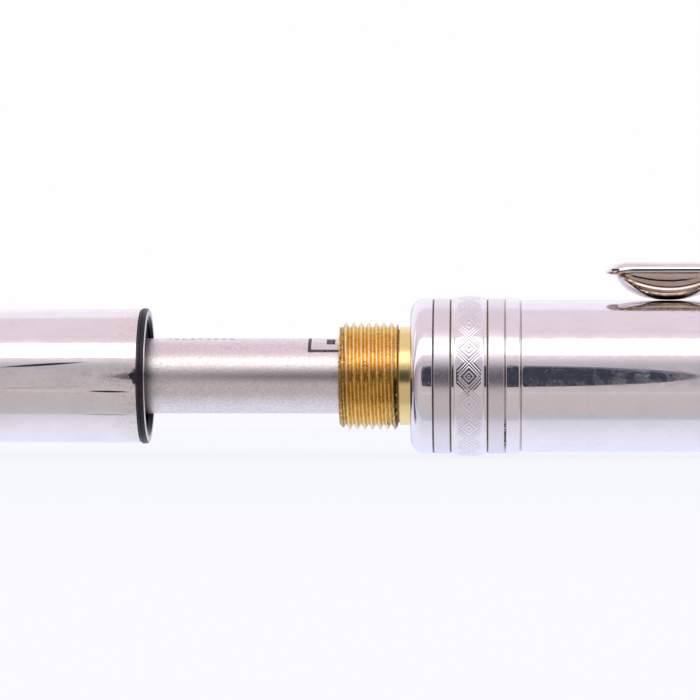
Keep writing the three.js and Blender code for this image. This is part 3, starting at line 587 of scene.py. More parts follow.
def brass_finish(name, threaded):
    """Turned brass. The thread is darker and more orange in its grooves, with grime in places and
    a painted shade ring in its relief groove.
    """
    material, shader = new_material(name)
    vector, place, angle = place_nodes()
    turning = grain(stretched(vector, (22, 1.2, 1.2)), 2.0, 3.0, 0.6)
    colour = blend(fade(turning, 0.35, 0.65), (0.90, 0.72, 0.30), (0.985, 0.82, 0.38))
    rough = fade(turning, 0.3, 0.7, 0.25, 0.17)
    if threaded:
        worked, dirt_and_groove_shade = worked_thread(vector, place, angle)
        on_thread = fall(place, -0.92, -0.88)
        colour = blend(on_thread, colour, worked)
        duller = times(plus(dirt_and_groove_shade, 0.1), times(on_thread, 0.35))
        rough = plus(rough, duller)
    wire(shader, {"Base Color": colour, "Metallic": 1.0, "Roughness": rough})
    bumped(shader, turning, 0.3, 12)
    return material


def worked_thread(vector, place, angle):
    """Colour of the thread, and the share of grime and painted shade on it."""
    patina = grain(vector, 0.9, 4.0, 0.65)
    depth = fade(radius_nodes(vector), THREAD_CREST, THREAD_ROOT + 0.06)
    # Painted highlight: paler crests and more orange grooves where the highlight falls
    painted_highlight_band = window(angle, 46.0, 60.0, 72.0, 88.0)
    groove = blend(fade(patina, 0.4, 0.65), (0.88, 0.62, 0.20), (0.78, 0.52, 0.16))
    groove = blend(times(painted_highlight_band, 0.7), groove, (0.92, 0.60, 0.22))
    crest = blend(fade(patina, 0.4, 0.7), (0.98, 0.84, 0.46), (0.92, 0.72, 0.30))
    crest = blend(times(painted_highlight_band, 0.75), crest, (0.98, 0.80, 0.68))
    worked = blend(fade(depth, 0.1, 0.75), crest, groove)
    # Painted shade: the lower front of the thread is darker
    painted_low_shade = times(window(angle, 94.0, 102.0, 119.0, 127.0), 0.2)
    worked = blend(painted_low_shade, worked, (0.42, 0.24, 0.06))
    specks = patchy(vector, (5.5, 3.0, 0.8), 0.58, 0.66)
    caked = times(within(place, -1.42, -1.04), fade(angle, 80.0, 96.0),
                  patchy(vector, (3.0, 3.0, 0.7), 0.36, 0.48))
    first_turn = times(fall(place, -5.45, -4.85), patchy(vector, (5.0, 2.0, 0.7), 0.44, 0.53), 0.6)
    dirt_and_groove_shade = times(most(specks, caked, first_turn), fade(depth, 0.15, 0.5, 0.35, 1.0))
    # Painted shade: a dark ring in the relief groove beside the collar, counted with the grime
    dirt_and_groove_shade = most(dirt_and_groove_shade, times(within(place, -1.03, -0.91), 0.8))
    return blend(dirt_and_groove_shade, worked, (0.09, 0.035, 0.010)), dirt_and_groove_shade


def moulded(name, light, dark, roughness, specular=0.4):
    material, shader = new_material(name)
    vector, _, _ = place_nodes()
    cloud = grain(vector, 3.0, 4.0, 0.6)
    wire(shader, {
        "Base Color": blend(fade(cloud, 0.38, 0.66), light, dark),
        "Roughness": fade(cloud, 0.3, 0.7, roughness * 0.85, roughness * 1.15),
        "Specular IOR Level": specular,
    })
    bumped(shader, grain(vector, 15.0, 3.0, 0.6), 0.3, 10)
    return material


STEEL = polished_metal("polished_steel", (0.90, 0.885, 0.90), (0.86, 0.845, 0.86), marks=seam_dirt_and_painted_reflection)
BARREL_STEEL = polished_metal("barrel_steel", (0.89, 0.875, 0.870), (0.84, 0.825, 0.815),
                              marks=barrel_wear_and_painted_reflections, dusty=0.35)
BAND_STEEL = polished_metal("band_steel", (0.89, 0.875, 0.885), (0.85, 0.835, 0.845), marks=engraved)
SEAM_STEEL = polished_metal("seam_steel", (0.62, 0.57, 0.54), (0.42, 0.38, 0.37), 0.15, 0.2, seam_dirt_and_painted_reflection)
ARM_NICKEL = polished_metal("arm_nickel", (0.91, 0.85, 0.83), (0.82, 0.75, 0.71),
                            0.04, 0.12, painted_arm_shade, 0.5)
# Painted shade: the keel is a darker copy of the arm's nickel
PAINTED_SHADE_KEEL_NICKEL = polished_metal("keel_nickel_painted_shade", (0.65, 0.53, 0.44), (0.52, 0.40, 0.30),
                             0.03, 0.10, keel_marks, 0.3)
SATIN = satin_metal("satin_steel", (0.88, 0.85, 0.87), (0.78, 0.755, 0.77), 0.27)
RING_SATIN = satin_metal("ring_satin", (0.86, 0.83, 0.85), (0.80, 0.775, 0.79), 0.27, edge=RING)
BUSH_STEEL = satin_metal("bush_steel", (0.86, 0.82, 0.83), (0.76, 0.73, 0.74),
                         bore=(BUSH_BORE, -DRAWN_OFF - 0.004))
TARNISH = satin_metal("dark_tarnish", (0.20, 0.185, 0.185), (0.075, 0.065, 0.065), 0.40)
SPRING = satin_metal("spring_steel", (0.60, 0.60, 0.62), (0.46, 0.46, 0.48), 0.28, along=True)
REFILL_STEEL = refill_finish()
THREAD_BRASS = brass_finish("thread_brass", True)
BRASS = brass_finish("turned_brass", False)
RUBBER = moulded("black_rubber", (0.017, 0.015, 0.026), (0.007, 0.006, 0.012), 0.36, specular=0.32)
PLASTIC = moulded("grey_plastic", (0.42, 0.43, 0.44), (0.35, 0.36, 0.37), 0.45)
INK = moulded("ink_paste", (0.012, 0.012, 0.030), (0.006, 0.006, 0.016), 0.25)


# Mechanism and refill

def thread_radius(place, angles, first, root, crest, flat, tip):
    """Radius of a right-hand thread at one place along the axis, for each angle round it."""
    turns = (place - first) / PITCH - angles / (2 * math.pi)
    off_crest = np.abs(turns - np.round(turns)) * PITCH
    share = np.clip((off_crest - tip) / (PITCH / 2 - flat / 2 - tip), 0, 1)
    eased = 0.75 * share + 0.25 * share * share * (3 - 2 * share)
    return crest + (root - crest) * eased


def threaded_sleeve():
    start, end = -5.63, -1.03
    rows = [(start, SLEEVE_BORE + 0.05)]
    for place in stations(start, end, 170):
        radius = thread_radius(place, ROUND, FIRST_CREST, THREAD_ROOT, THREAD_CREST, 0.12, 0.02)
        limit = THREAD_CREST - 0.40 + (place - start) * 0.95
        rows.append((place, np.minimum(radius, limit)))
    outline = filleted([
        (end + 0.001, 3.70, 0), (-0.87, 3.70, 0.02), (-0.87, COLLAR, 0.04), (5.0, COLLAR, 0.05),
        (5.0, 4.48, 0.05), (6.5, 4.48, 0.05), (6.5, 3.54, 0.02), (11.0, 3.54, 0.1),
        (11.0, SLEEVE_BORE, 0.05), (start + 0.05, SLEEVE_BORE, 0),
    ])
    return revolved(rows + outline)


piece("sleeve_thread_and_collar", [threaded_sleeve()],
      "mechanism", "threaded_sleeve", THREAD_BRASS)

turned("refill_body", [
    (-46.0, 2.70, 0.02), (-46.0, REFILL, 0.12), (33.0, REFILL, 0.12), (33.0, 2.70, 0.02),
], "refill", "refill_tube", REFILL_STEEL)

turned("refill_taper", [
    (-43.0, 0.40, 0), (-43.0, 2.66, 0.05), (-46.04, 2.66, 0), (-46.04, 2.86, 0.05),
    (-53.0, 1.15, 0.6), (-63.89, 1.15, 0.05), (-63.89, 0.74, 0), (-61.89, 0.74, 0),
    (-61.89, 0.40, 0),
], "refill", "refill_neck", SATIN)

turned("refill_point", [
    (-61.93, 0.40, 0), (-61.93, 0.70, 0.03), (-63.93, 0.70, 0), (-63.93, 1.15, 0.05),
    (-65.33, 1.15, 0.3), (-68.53, 0.52, 0.06), (-68.53, 0.40, 0),
], "refill", "refill_tip", BRASS)

# Rings and cap

piece("cap_lip_ring", [revolved(filleted([
    (0.0, 4.0, 0.04), (0.0, RING, 1.15), (1.75, RING, 0.05), (1.75, RING_BORE, 0),
    (0.60, RING_BORE, 0), (0.60, 4.0, 0.04),
], 14))], "cap", "lip_ring", STEEL)

for name, node, start, end, slot, metal, edge in (
    ("ring_satin_front", "front_satin_ring", 1.87, 3.11, "satin_steel", RING_SATIN, 0.05),
    ("ring_satin_rear", "rear_satin_ring", 6.13, 7.37, "satin_steel", RING_SATIN, 0.05),
    ("ring_polished_rear", "body_ring", 7.49, 8.59, "polished_steel", STEEL, 0.08),
):
    turned(name, [
        (start, RING_BORE, 0), (start, RING, edge), (end, RING, edge), (end, RING_BORE, 0),
    ], "cap", node, metal)


# Lozenges round the band, and how deep the lines are cut
LOZENGES = 18
FRIEZE_DEPTH = 0.024


def frieze_depth(across, angles):
    """How deep the band's ornament is cut: nested lozenges with a dot, and chevrons in the
    corners between them."""
    arc = (angles / (2 * math.pi) * LOZENGES) % 1 - 0.5
    along = arc * 2 * math.pi * BAND / LOZENGES
    lozenge = np.abs(across) / 0.92 + np.abs(along) / 0.98
    cut = np.clip((0.15 - np.hypot(across, along)) / 0.08, 0, 1)
    for level, strength in ((0.46, 0.8), (0.86, 1.0), (1.14, 0.8), (1.42, 0.8)):
        cut = np.maximum(cut, strength * np.clip(1.25 - np.abs(lozenge - level) / 0.075, 0, 1))
    cut = cut * np.clip((HALF_CROWN - 0.05 - np.abs(across)) / 0.08, 0, 1)
    return FRIEZE_DEPTH * cut * cut * (3 - 2 * cut)


def centre_band():
    sides = 1080
    angles = np.arange(sides) * 2 * math.pi / sides
    flat = RING - 0.03
    edge = BAND - HALF_CROWN ** 2 / (2 * CROWN_RADIUS)
    last = math.radians(62)
    rise = []
    for step in range(7):
        turn = last * step / 6
        along = BAND_RIM + BAND_SHOULDER * (1 - math.cos(turn)) / (1 - math.cos(last))
        rise.append((along, flat + (edge - flat) * math.sin(turn) / math.sin(last)))
    rows = [(BAND_START, RING_BORE), (BAND_START, flat - 0.04), (BAND_START + 0.04, flat),
            (BAND_START + 0.06, flat)]
    rows += [(BAND_START + along, radius) for along, radius in rise]
    for across in stations(-HALF_CROWN + 0.02, HALF_CROWN - 0.02, 60):
        crown = BAND - across ** 2 / (2 * CROWN_RADIUS)
        rows.append((BAND_MIDDLE + across, crown - frieze_depth(across, angles)))
    rows += [(BAND_END - along, radius) for along, radius in reversed(rise)]
    rows += [(BAND_END - 0.06, flat), (BAND_END - 0.04, flat), (BAND_END, flat - 0.04),
             (BAND_END, RING_BORE)]
    return revolved(rows, sides)


piece("ornamented_band", [centre_band()], "cap", "centre_band", BAND_STEEL)


def seam_filling(start, end, top):
    """What fills the groove between two rings, a little clear of both."""
    start, end, bottom = start + 0.004, end - 0.004, RING_BORE + 0.005
    return revolved([(start, bottom), (start, top), (end, top), (end, bottom)])


piece("seam_fillings_front", [
    seam_filling(1.75, 1.87, RING - 0.05), seam_filling(3.11, 3.23, RING - 0.08),
    seam_filling(6.01, 6.13, RING - 0.08),
], "cap", None, TARNISH)
piece("seam_fillings_rear", [
    seam_filling(7.37, 7.49, RING - 0.03), seam_filling(8.59, 8.71, CAP - 0.01),
], "cap", None, SEAM_STEEL)

CAP_START, CAP_END, TAPER_START = 8.71, 56.71, 24.01


def cap_radius(place):
    share = max(0.0, (place - TAPER_START) / (CAP_END - TAPER_START))
    return CAP - (CAP - CAP_TOP) * share * share


cap_rows = [(CAP_START, RING_BORE), (CAP_START, CAP - 0.06), (CAP_START + 0.02, CAP - 0.02),
            (CAP_START + 0.06, CAP)]
cap_rows += [(place, cap_radius(place)) for place in stations(CAP_START + 0.2, CAP_END - 0.08, 70)]
cap_rows += [(CAP_END - 0.02, cap_radius(CAP_END) - 0.02), (CAP_END, cap_radius(CAP_END) - 0.08)]
cap_rows += [(place, cap_radius(place) - 0.45) for place in stations(CAP_END, 38.75, 8)]
cap_rows += [(38.71, RING_BORE)]
piece("cap_skin", [revolved(cap_rows)], "cap", "cap_body", STEEL)

# Clip

FORWARD = Vector((1, 0, 0))
ACROSS = Vector((0, 1, 0))
UP = Vector((0, 0, 1))
ARM_HALF = 1.6

# Half of the arm's section: share of the height, and how far the side lies inside the widest
# line in millimetres. A folded edge stands over a narrow groove, and an inner ply under it.
ARM_SECTION = (
    (0.00, 0.62), (0.01, 0.30), (0.03, 0.14), (0.08, 0.08), (0.19, 0.05), (0.205, 0.08), (0.215, 0.15),
    (0.312, 0.15), (0.318, 0.05), (0.326, 0.012), (0.34, 0.0), (0.37, 0.010), (0.42, 0.032), (0.50, 0.068),
    (0.58, 0.112), (0.66, 0.176), (0.74, 0.258), (0.82, 0.366), (0.89, 0.50), (0.95, 0.70), (0.985, 0.95),
    (1.00, 1.30),
)


def arm_section(along, low, high, half):
    """A closed ring of points in the plane square to the clip's path."""
    right = []
    for share, inset in ARM_SECTION:
        side = max(0.0, half - inset * min(1.0, half / 1.5))
        right.append((low + (high - low) * share, side))
    ring = [along * lift + ACROSS * side for lift, side in right]
    return ring + [along * lift - ACROSS * side for lift, side in reversed(right)]


def lofted(rings):
    """Skin over rings of points, closed at both ends with a fan."""
    count = len(rings[0])
    points = [tuple(p) for ring in rings for p in ring]
    faces = []
    for i in range(len(rings) - 1):
        for k in range(count):
            n = (k + 1) % count
            faces.append((i * count + k, i * count + n, (i + 1) * count + n, (i + 1) * count + k))
    for index, ring in ((0, rings[0]), (len(rings) - 1, rings[-1])):
        centre = sum(ring, Vector()) / count
        points.append(tuple(centre))
        for k in range(count):
            faces.append((index * count + k, index * count + (k + 1) % count, len(points) - 1))
    return np.array(points), faces


def clip_parts():
    tip, ring_start, ring_end = 15.45, 56.83, 58.43
    rings = []
    nose_places = tip + 1.9 * np.linspace(0.0, 1.0, 22) ** 1.5
    for place in np.concatenate([nose_places, np.linspace(17.7, 55.4, 60)]):
        nose = min(1.0, (place - tip) / 1.75)
        rise = nose * (2 - nose)
        round_over = math.sqrt(max(0.0, 1 - (1 - min(1.0, (place - tip) / 1.0)) ** 2))
        chin = 0.16 * max(0.0, 1 - max(0.0, place - tip - 0.9) / 1.2) * round_over
        low = CLIP_UNDER + 0.06 * (1 - round_over) - chin
        high = CLIP_UNDER + 0.14 + (CLIP_TOP - CLIP_UNDER - 0.14) * rise
        half = (1.3 + 0.3 * min(1.0, (place - tip) / 30)) * max(0.10, round_over)
        ring = arm_section(UP, low, high, half)
        rings.append([p + Vector((place, 0, 0)) for p in ring])
    bend_out, bend_in = 1.9, 1.07
    out_centre = Vector((ring_end - bend_out, 0, CLIP_TOP - bend_out))
    in_centre = Vector((ring_start - bend_in, 0, CLIP_UNDER - bend_in))
    for step in range(13):
        turn = math.radians(90 * step / 12)
        outward = Vector((math.sin(turn), 0, math.cos(turn)))
        inner, outer = in_centre + outward * bend_in, out_centre + outward * bend_out
        thick = (outer - inner).length
        direction = (outer - inner).normalized()
        rings.append([inner + p for p in arm_section(direction, 0, thick, ARM_HALF)])
    for height in stations(6.0, 3.9, 6):
        ring = arm_section(FORWARD, 0, ring_end - ring_start, ARM_HALF)
        rings.append([Vector((ring_start, 0, height)) + p for p in ring])
    ring = filleted([(ring_start, SCREW_HOLE, 0), (ring_start, 5.05, 0.12), (ring_end, 5.05, 0.12),
                     (ring_end, SCREW_HOLE, 0)])
    return [lofted(rings), revolved(ring)]


piece("clip_arm_and_ring", clip_parts(),
      "cap", "clip", ARM_NICKEL, sharp=math.radians(55))

# Outline of the keel's lower edge, from its front to its back: place and height
KEEL_EDGE = (
    (16.30, 8.16), (16.36, 7.85), (16.62, 7.34), (17.06, 6.90), (17.62, 6.56), (18.17, 6.33), (18.97, 6.14),
    (19.75, 6.05), (20.40, 6.03), (21.05, 6.05), (21.80, 6.14), (22.60, 6.36), (23.15, 6.62), (23.70, 6.98),
    (24.10, 7.42), (24.32, 7.85), (24.38, 8.16),
)


def eased_through(x, places, values):
    """A smooth curve through the points, at x."""
    slopes = np.gradient(values, places)
    i = int(np.clip(np.searchsorted(places, x) - 1, 0, len(places) - 2))
    width = places[i + 1] - places[i]
    t = (x - places[i]) / width
    return ((2 * t ** 3 - 3 * t ** 2 + 1) * values[i] + (t ** 3 - 2 * t ** 2 + t) * width * slopes[i]
            + (3 * t ** 2 - 2 * t ** 3) * values[i + 1] + (t ** 3 - t ** 2) * width * slopes[i + 1])


def keel_rim(half, rim):
    """Quarter outline of the rim, from its widest line down: (drop, side). It turns quickly at
    the widest line and evenly round the bottom."""
    turns = np.radians(np.linspace(0, 90, 25))
    radii = np.interp(np.degrees(turns), (10, 30, 50), (0.5, 1.2, 1.0))
    drop, side = [0.0], [0.0]
    for i in range(1, len(turns)):
        middle, step = (turns[i] + turns[i - 1]) / 2, turns[i] - turns[i - 1]
        drop.append(drop[-1] + radii[i] * math.cos(middle) * step)
        side.append(side[-1] + radii[i] * math.sin(middle) * step)
    return [(d / drop[-1] * rim, half * (1 - s / side[-1])) for d, s in zip(drop, side)]


# Lean of the keel's sides, in degrees
KEEL_LEAN = 8.5
# Height over the bead's widest line, and how far the side leans in up to there
BEAD_SHOULDER = ((0.04, 11.0), (0.08, 17.0), (0.17, 20.5), (0.21, 15.0), (0.26, 9.0))


def keel():
    """A disc stood on edge: sides that lean in a little upwards, and a round bead as its rim."""
    half, rim, top = 1.12, 0.71, CLIP_UNDER - 0.006
    places, heights = np.array(KEEL_EDGE).T
    profile = keel_rim(half, rim)
    rings = []
    for turn in np.linspace(-88, 88, 73):
        place = (places[0] + places[-1]) / 2
        place += (places[-1] - places[0]) / 2 * math.sin(math.radians(turn))
        bottom = eased_through(place, places, heights)
        widest = KEEL_WIDEST + WIDEST_SWEEP * (place - KEEL_MIDDLE) ** 2
        rim_now = float(np.clip(widest - bottom, 0.05, 0.76 * (top - bottom)))
        half_now = half * min(1.0, rim_now / rim) ** 0.5
        widest = bottom + rim_now
        points = [(widest - drop * rim_now / rim, side * half_now / half)
                  for drop, side in reversed(profile)]
        lean, before, room = 0.0, 0.0, top - widest
        shrunk = min(1.0, room / 0.6)
        shoulder = [(step * shrunk, tilt) for step, tilt in BEAD_SHOULDER]
        for climb, tilt in (*shoulder, (room, KEEL_LEAN)):
            lean += math.tan(math.radians(tilt)) * (climb - before)
            before = climb
            points.append((widest + climb, half_now - lean))
        ring = [UP * lift + ACROSS * side for lift, side in points]
        ring += [UP * lift - ACROSS * side for lift, side in reversed(points)]
        rings.append([p + Vector((place, 0, 0)) for p in ring])
    return lofted(rings)


piece("clip_keel_drop", [keel()],
      "cap", "clip_keel", PAINTED_SHADE_KEEL_NICKEL, sharp=math.radians(60))

# Finial

turned("finial_seal", [
    (58.47, SCREW_HOLE, 0), (58.47, 4.80, 0.08), (58.87, 4.80, 0.08), (58.87, SCREW_HOLE, 0),
], "cap", "finial_washer", RUBBER)
turned("finial_satin_base", [
    (58.91, SCREW_HOLE, 0), (58.91, 4.88, 0.10), (60.51, 4.88, 0.10), (60.51, SCREW_HOLE, 0),
], "cap", "finial_base", SATIN)

DOME_START = 60.63
dome_rows = [(64.63, 0.0), (64.63, SCREW_HOLE), (DOME_START, SCREW_HOLE), (DOME_START, 4.62),
             (60.69, 4.68)]
for step in range(1, 41):
    turn = math.radians(90 * step / 40)
    dome_rows.append((DOME_START + 7.4 * math.sin(turn), 2.5 + 2.18 * math.cos(turn)))
dome_rows += [(68.03, 2.08), (67.99, 2.04), (67.49, 2.04), (67.49, 0.0)]
piece("finial_polished_dome", [revolved(dome_rows)], "cap", "finial_dome", STEEL)
piece("finial_end_inlay", [revolved([
    (67.53, 0.0), (67.53, 2.0), (67.97, 2.0), (68.02, 1.97), (68.03, 1.92), (68.03, 1.2), (68.00, 1.15),
    (68.00, 1.0), (68.03, 0.95), (68.03, 0.0),
])], "cap", "finial_inlay", SATIN)

# Barrel

MOUTH = -0.64
SHELL_END = -57.64


def barrel_radius(place):
    share = max(0.0, (MOUTH - place) / 57)
    return BARREL - (BARREL - BARREL_END) * share * share


def barrel_bush():
    """The threaded bush: a thin rim at the mouth, and the nut thread inside."""
    rim = BARREL - 0.03
    rows = [(-9.0, 4.69), (-9.0, 4.85), (-0.06, 4.85), (-0.06, rim - 0.02), (-0.05, rim),
            (-0.02, rim), (0.0, rim - 0.02), (0.0, BUSH_BORE)]
    for place in stations(-0.02, -6.0, 150):
        radius = thread_radius(place, ROUND, FIRST_CREST + 0.35, 4.65, 4.36, 0.12, 0.03)
        rows.append((place, np.maximum(radius, BUSH_BORE + place * 0.8)))
    rows += [(-6.01, 4.69)]
    return revolved(rows)


piece("barrel_mouth_bush", [barrel_bush()],
      "barrel", "barrel_bush", BUSH_STEEL, -DRAWN_OFF)

shell_rows = [(MOUTH, SHELL_BORE), (MOUTH, BARREL - 0.05), (MOUTH - 0.015, BARREL - 0.015),
              (MOUTH - 0.05, BARREL)]
shell_rows += [(place, barrel_radius(place)) for place in stations(MOUTH - 0.3, SHELL_END + 0.06, 60)]
shell_rows += [(SHELL_END, barrel_radius(SHELL_END) - 0.06)]
shell_rows += [(place, barrel_radius(place) - 0.4) for place in stations(SHELL_END, -9.04, 24)]
shell_rows += [(-9.03, SHELL_BORE)]
piece("barrel_skin", [revolved(shell_rows)],
      "barrel", "barrel_shell", BARREL_STEEL, -DRAWN_OFF)

gasket_end, gasket_start = -0.08, -0.55
gasket_rows = filleted([
    (gasket_start, SHELL_BORE, 0), (gasket_start, 5.37, 0.05), (-0.38, 5.39, 0.03),
    (-0.37, 5.33, 0), (-0.34, 5.33, 0), (-0.33, 5.39, 0.03), (gasket_end, 5.35, 0.06),
    (gasket_end, SHELL_BORE, 0),
])


def gasket_tab():
    """A small flap of the gasket pressed out over the polished barrel."""
    rings = []
    for share in stations(0.0, 1.0, 14):
        place = gasket_start + 0.02 - 0.66 * share
        ragged = 1 + 0.22 * math.sin(11 * share) + 0.12 * math.sin(29 * share + 1)
        half = math.radians(5.6) * (1 - share) ** 0.85 * ragged + math.radians(0.6)
        lift = (0.085 * (1 - 0.7 * share) + 0.012) * (1 + 0.3 * math.sin(17 * share))
        ring = []
        for step in range(12):
            turn = 2 * math.pi * step / 12
            angle = math.radians(90.5 - 1.5 * share) + half * math.cos(turn)
            radius = BARREL - 0.02 + lift * (0.5 + 0.5 * math.sin(turn))
            ring.append(Vector((place, -radius * math.sin(angle), radius * math.cos(angle))))
        rings.append(ring)
    return lofted(rings)


piece("gasket_with_tab", [revolved(gasket_rows), gasket_tab()],
      "gasket", "mouth_gasket", RUBBER, -DRAWN_OFF)

turned("nose_satin_ring", [
    (-59.26, 3.85, 0), (-59.26, 4.37, 0.14), (-57.76, 4.37, 0.14), (-57.76, 3.85, 0),
], "barrel", "nose_ring", SATIN, -DRAWN_OFF)

nose_start, nose_end = -59.38, -70.08
nose_rows = [(-54.78, 3.21), (-54.78, 3.81), (nose_start, 3.81), (nose_start, 4.09)]
for share in stations(0.006, 0.97, 40):
    nose_rows.append((nose_start - 10.7 * share, 4.15 - (4.15 - 1.74) * share ** 1.25))
for step in range(7):
    turn = math.radians(90 * step / 6)
    nose_rows.append((nose_end + 0.24 * (1 - math.sin(turn)), 1.52 + 0.26 * math.cos(turn)))
nose_rows += [(nose_end, 1.29), (-66.08, 1.29), (-66.08, 2.03), (-58.68, 2.03), (-58.68, 3.21)]
piece("nose_polished_cone", [revolved(nose_rows)],
      "barrel", "nose_cone", STEEL, -DRAWN_OFF)

# Return spring

SPRING_WIRE = 0.2
SPRING_TURNS = 8


def coil():
    """One wire wound in the space that the CAD spring holds, with closer turns at both ends."""
    low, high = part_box("return_spring")
    start, end = (low.x - SEAT) / MM + SPRING_WIRE, (high.x - SEAT) / MM - SPRING_WIRE
    radius = (high.z - low.z) / MM / 2 - SPRING_WIRE
    steps, sides = 30, 10
    rings = []
    for i in range(SPRING_TURNS * steps + 1):
        turn = i / steps
        gathered = 0.5 * SPRING_TURNS / (2 * math.pi) * math.sin(2 * math.pi * turn / SPRING_TURNS)
        place = start + (end - start) * (turn - gathered) / SPRING_TURNS
        angle = 2 * math.pi * turn
        outward = Vector((0, -math.sin(angle), math.cos(angle)))
        middle = FORWARD * place + outward * radius
        ring = []
        for side in range(sides):
            around = 2 * math.pi * side / sides
            spoke = outward * math.cos(around) + FORWARD * math.sin(around)
            ring.append(middle + spoke * SPRING_WIRE)
        rings.append(ring)
    return lofted(rings)


spring_coil = piece("return_spring_coil", [coil()],
                    "mechanism", "return_spring", SPRING)
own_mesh(spring_coil)

# CAD nodes that stay

for node, metal in {
    "drag_ring": RUBBER, "bearing_washer": PLASTIC, "guide_tube": SPRING, "snap_ring": SPRING,
    "slider": PLASTIC, "follower_pin": SPRING, "refill_plug": PLASTIC,
    "ink_column": INK, "writing_ball": SPRING, "cap_liner": TARNISH, "cam_sleeve": BRASS,
    "anchor_plug": BRASS, "finial_screw": SPRING, "nose_guide": PLASTIC,
}.items():
    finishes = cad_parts[node].data.materials
    finishes.clear()
    finishes.append(metal)

# Studio

# Share of the light that the polished steel returns: the bands are brighter by it, so that the
# metal shows the tones given here
METAL_SHARE = 0.885
# Tones by direction, in degrees round the pen's axis from the level in front, upwards
STUDIO = (
    (-180, (224, 229, 253)), (-150, (226, 231, 252)), (-125, (229, 230, 248)), (-108, (229, 227, 241)),
    (-92, (223, 220, 233)), (-78, (214, 212, 224)), (-71, (208, 208, 219)), (-68, (184, 184, 190)),
    (-58, (182, 182, 187)), (-54, (190, 180, 182)), (-28, (191, 181, 184)), (-25.5, (204, 194, 195)),
    (-23, (190, 181, 184)), (-12, (186, 178, 181)), (6, (186, 177, 181)), (15, (178, 171, 181)),
    (21, (192, 182, 190)), (27, (219, 207, 214)), (31.5, (228, 215, 222)),
)
SOFTBOX = ((33.5, 1.5), (57.0, 1.5))
UPPER = (
    (59.5, (238, 221, 233)), (67, (230, 214, 225)), (69.5, (230, 214, 224)), (71, (214, 201, 208)),
    (73, (225, 210, 219)), (119, (225, 211, 221)), (123, (241, 232, 247)), (180, (244, 238, 252)),
)


def seen_in_metal(red, green, blue):
    """Brightness that the polished steel reflects as this screen colour."""
    return [v / METAL_SHARE for v in srgb(red, green, blue)]


def build_world():
    """Bands of near-white by direction for the metal, and plain near-white for the camera."""
    world = bpy.data.worlds.new("studio")
    bpy.context.scene.world = world
    start_tree(world).clear()
    direction = add("TexCoord").outputs["Generated"]
    split = add("SeparateXYZ", {0: direction})
    along, across, up = split.outputs
    angle = calc("ARCTAN2", up, times(across, -1.0))
    ramp = add("ValToRGB", {"Fac": fade(angle, -math.pi, math.pi)})
    stops = [(turn, seen_in_metal(*tone)) for turn, tone in STUDIO]
    stops += [(turn, [bright / METAL_SHARE] * 3) for turn, bright in SOFTBOX]
    stops += [(turn, seen_in_metal(*tone)) for turn, tone in UPPER]
    elements = ramp.color_ramp.elements
    while len(elements) < len(stops):
        elements.new(0.5)
    for element, (turn, colour) in zip(elements, stops):
        element.position = (turn + 180) / 360
        element.color = (*colour, 1.0)
    ends = fade(size_of(along), 0.74, 0.96)
    shade = blend(ends, (1, 1, 1), (0.62, 0.60, 0.66))
    studio = add("VectorMath", {0: ramp.outputs[0], 1: shade}, operation="MULTIPLY").outputs[0]
    degrees = times(angle, 180 / math.pi)
    # Behind the pen a slightly brighter and a slightly darker band, and at the far left a lamp
    # overhead and a dark patch below, which the round of the lip shows
    leftward = fall(along, -0.82, -0.72)
    for share, colour in (
        (window(degrees, 147, 149, 161, 163), (1.02, 1.0, 1.06)),
        (fade(size_of(degrees), 168.5, 171), (0.70, 0.68, 0.76)),
        (times(leftward, within(degrees, 98, 116)), (1.2, 1.2, 1.2)),
        (times(leftward, within(degrees, -121, -88)), (0.045, 0.042, 0.09)),
    ):
        studio = blend(share, studio, colour)
    to_camera = add("LightPath").outputs["Is Camera Ray"]
    colour = blend(to_camera, studio, srgb(254, 254, 255))
    background = add("Background", {"Color": colour, "Strength": 1.0})
    output = add("OutputWorld")
    connect(background.outputs[0], output.inputs["Surface"])


build_world()


FLOOR_SIZE = 60.0
# Share of the floor's own glow in what the camera sees: the rest takes the shadow
FLOOR_GLOW = 0.86


def floor():
    height = AXIS - BAND * MM - 0.00002
    bpy.ops.mesh.primitive_plane_add(size=FLOOR_SIZE, location=(0, 0, height))
    obj = bpy.context.object
    obj.name = "floor"
    material, shader = new_material("floor_white")
    wire(shader, {"Base Color": srgb(248, 249, 255), "Roughness": 0.9})
    coords = add("TexCoord").outputs["Object"]
    distance = add("VectorMath", {0: coords}, operation="LENGTH").outputs["Value"]
    near = blend(fade(distance, 0.08, 0.16), srgb(247, 250, 255), srgb(252, 252, 255))
    colour = blend(fade(distance, 0.4, 1.6), near, srgb(255, 255, 255))
    shine = add("Emission", {"Color": colour, "Strength": 1.0})
    share = times(add("LightPath").outputs["Is Camera Ray"], FLOOR_GLOW)
    mix = add("MixShader", {0: share, 1: shader.outputs[0], 2: shine.outputs[0]})
    connect(mix.outputs[0], building.nodes["Material Output"].inputs["Surface"])
    obj.data.materials.append(material)
    obj.visible_glossy = False


CARD_DISTANCE = 72.6


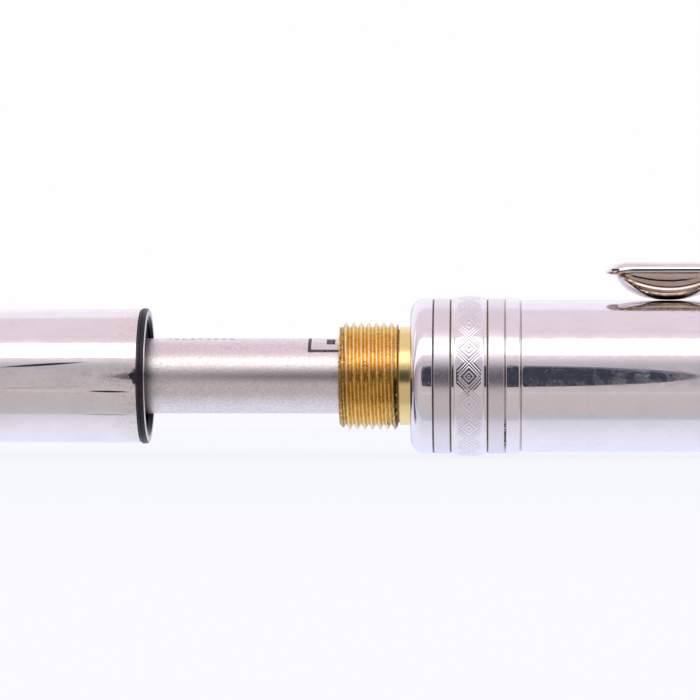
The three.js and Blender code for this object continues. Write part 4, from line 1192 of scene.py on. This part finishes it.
def dark_card(name, place, height, half_length, half_height, nearer, rim):
    """Oval dark card in front of the pen: only reflections see it. Its upper edge may be
    bluish."""
    middle = (SEAT + place * MM, (nearer - CARD_DISTANCE) * MM, AXIS + height * MM)
    bpy.ops.mesh.primitive_circle_add(vertices=96, radius=half_length * MM, fill_type="NGON",
                                      location=middle)
    obj = bpy.context.object
    obj.name = name
    obj.rotation_euler = (math.radians(90), 0, 0)
    obj.scale = (1, half_height / half_length, 1)
    material = bpy.data.materials.new(name)
    start_tree(material).clear()
    coords = add("TexCoord").outputs["Object"]
    out = add("VectorMath", {0: coords}, operation="LENGTH").outputs["Value"]
    lift = add("SeparateXYZ", {0: coords}).outputs[1]
    reach = half_length * MM
    edge = times(fade(out, 0.84 * reach, 0.93 * reach), fade(lift, 0.1 * reach, 0.4 * reach, 0.0, rim))
    colour = blend(edge, seen_in_metal(56, 59, 70), seen_in_metal(108, 106, 128))
    shine = add("Emission", {"Color": colour, "Strength": 1.0})
    output = add("OutputMaterial")
    connect(shine.outputs[0], output.inputs["Surface"])
    obj.data.materials.append(material)
    obj.visible_camera = False
    obj.visible_diffuse = False
    obj.visible_shadow = False


floor()
dark_card("dark_disc", 6.03, -0.2, 20.1, 20.1, 0.0, 1.0)
dark_card("dark_oval", -9.0, -0.6, 21.0, 18.0, -0.4, 0.0)

# Camera: level, and turned a little to the left
CAMERA_PLACE, CAMERA_AIM = 6.035, -4.845
CAMERA_DISTANCE, CAMERA_HEIGHT = 300, 2.06

camera = bpy.data.objects.new("camera", bpy.data.cameras.new("camera"))
bpy.context.scene.collection.objects.link(camera)
camera.location = (SEAT + CAMERA_PLACE * MM, -CAMERA_DISTANCE * MM, AXIS + CAMERA_HEIGHT * MM)
target = Vector((SEAT + CAMERA_AIM * MM, 0, AXIS + CAMERA_HEIGHT * MM))
camera.rotation_euler = (target - camera.location).to_track_quat("-Z", "Y").to_euler()
camera.data.sensor_width = 36
camera.data.lens = 194.4
camera.data.clip_start = 0.01
camera.data.clip_end = 10
bpy.context.scene.camera = camera

bpy.context.scene.view_settings.view_transform = "Standard"
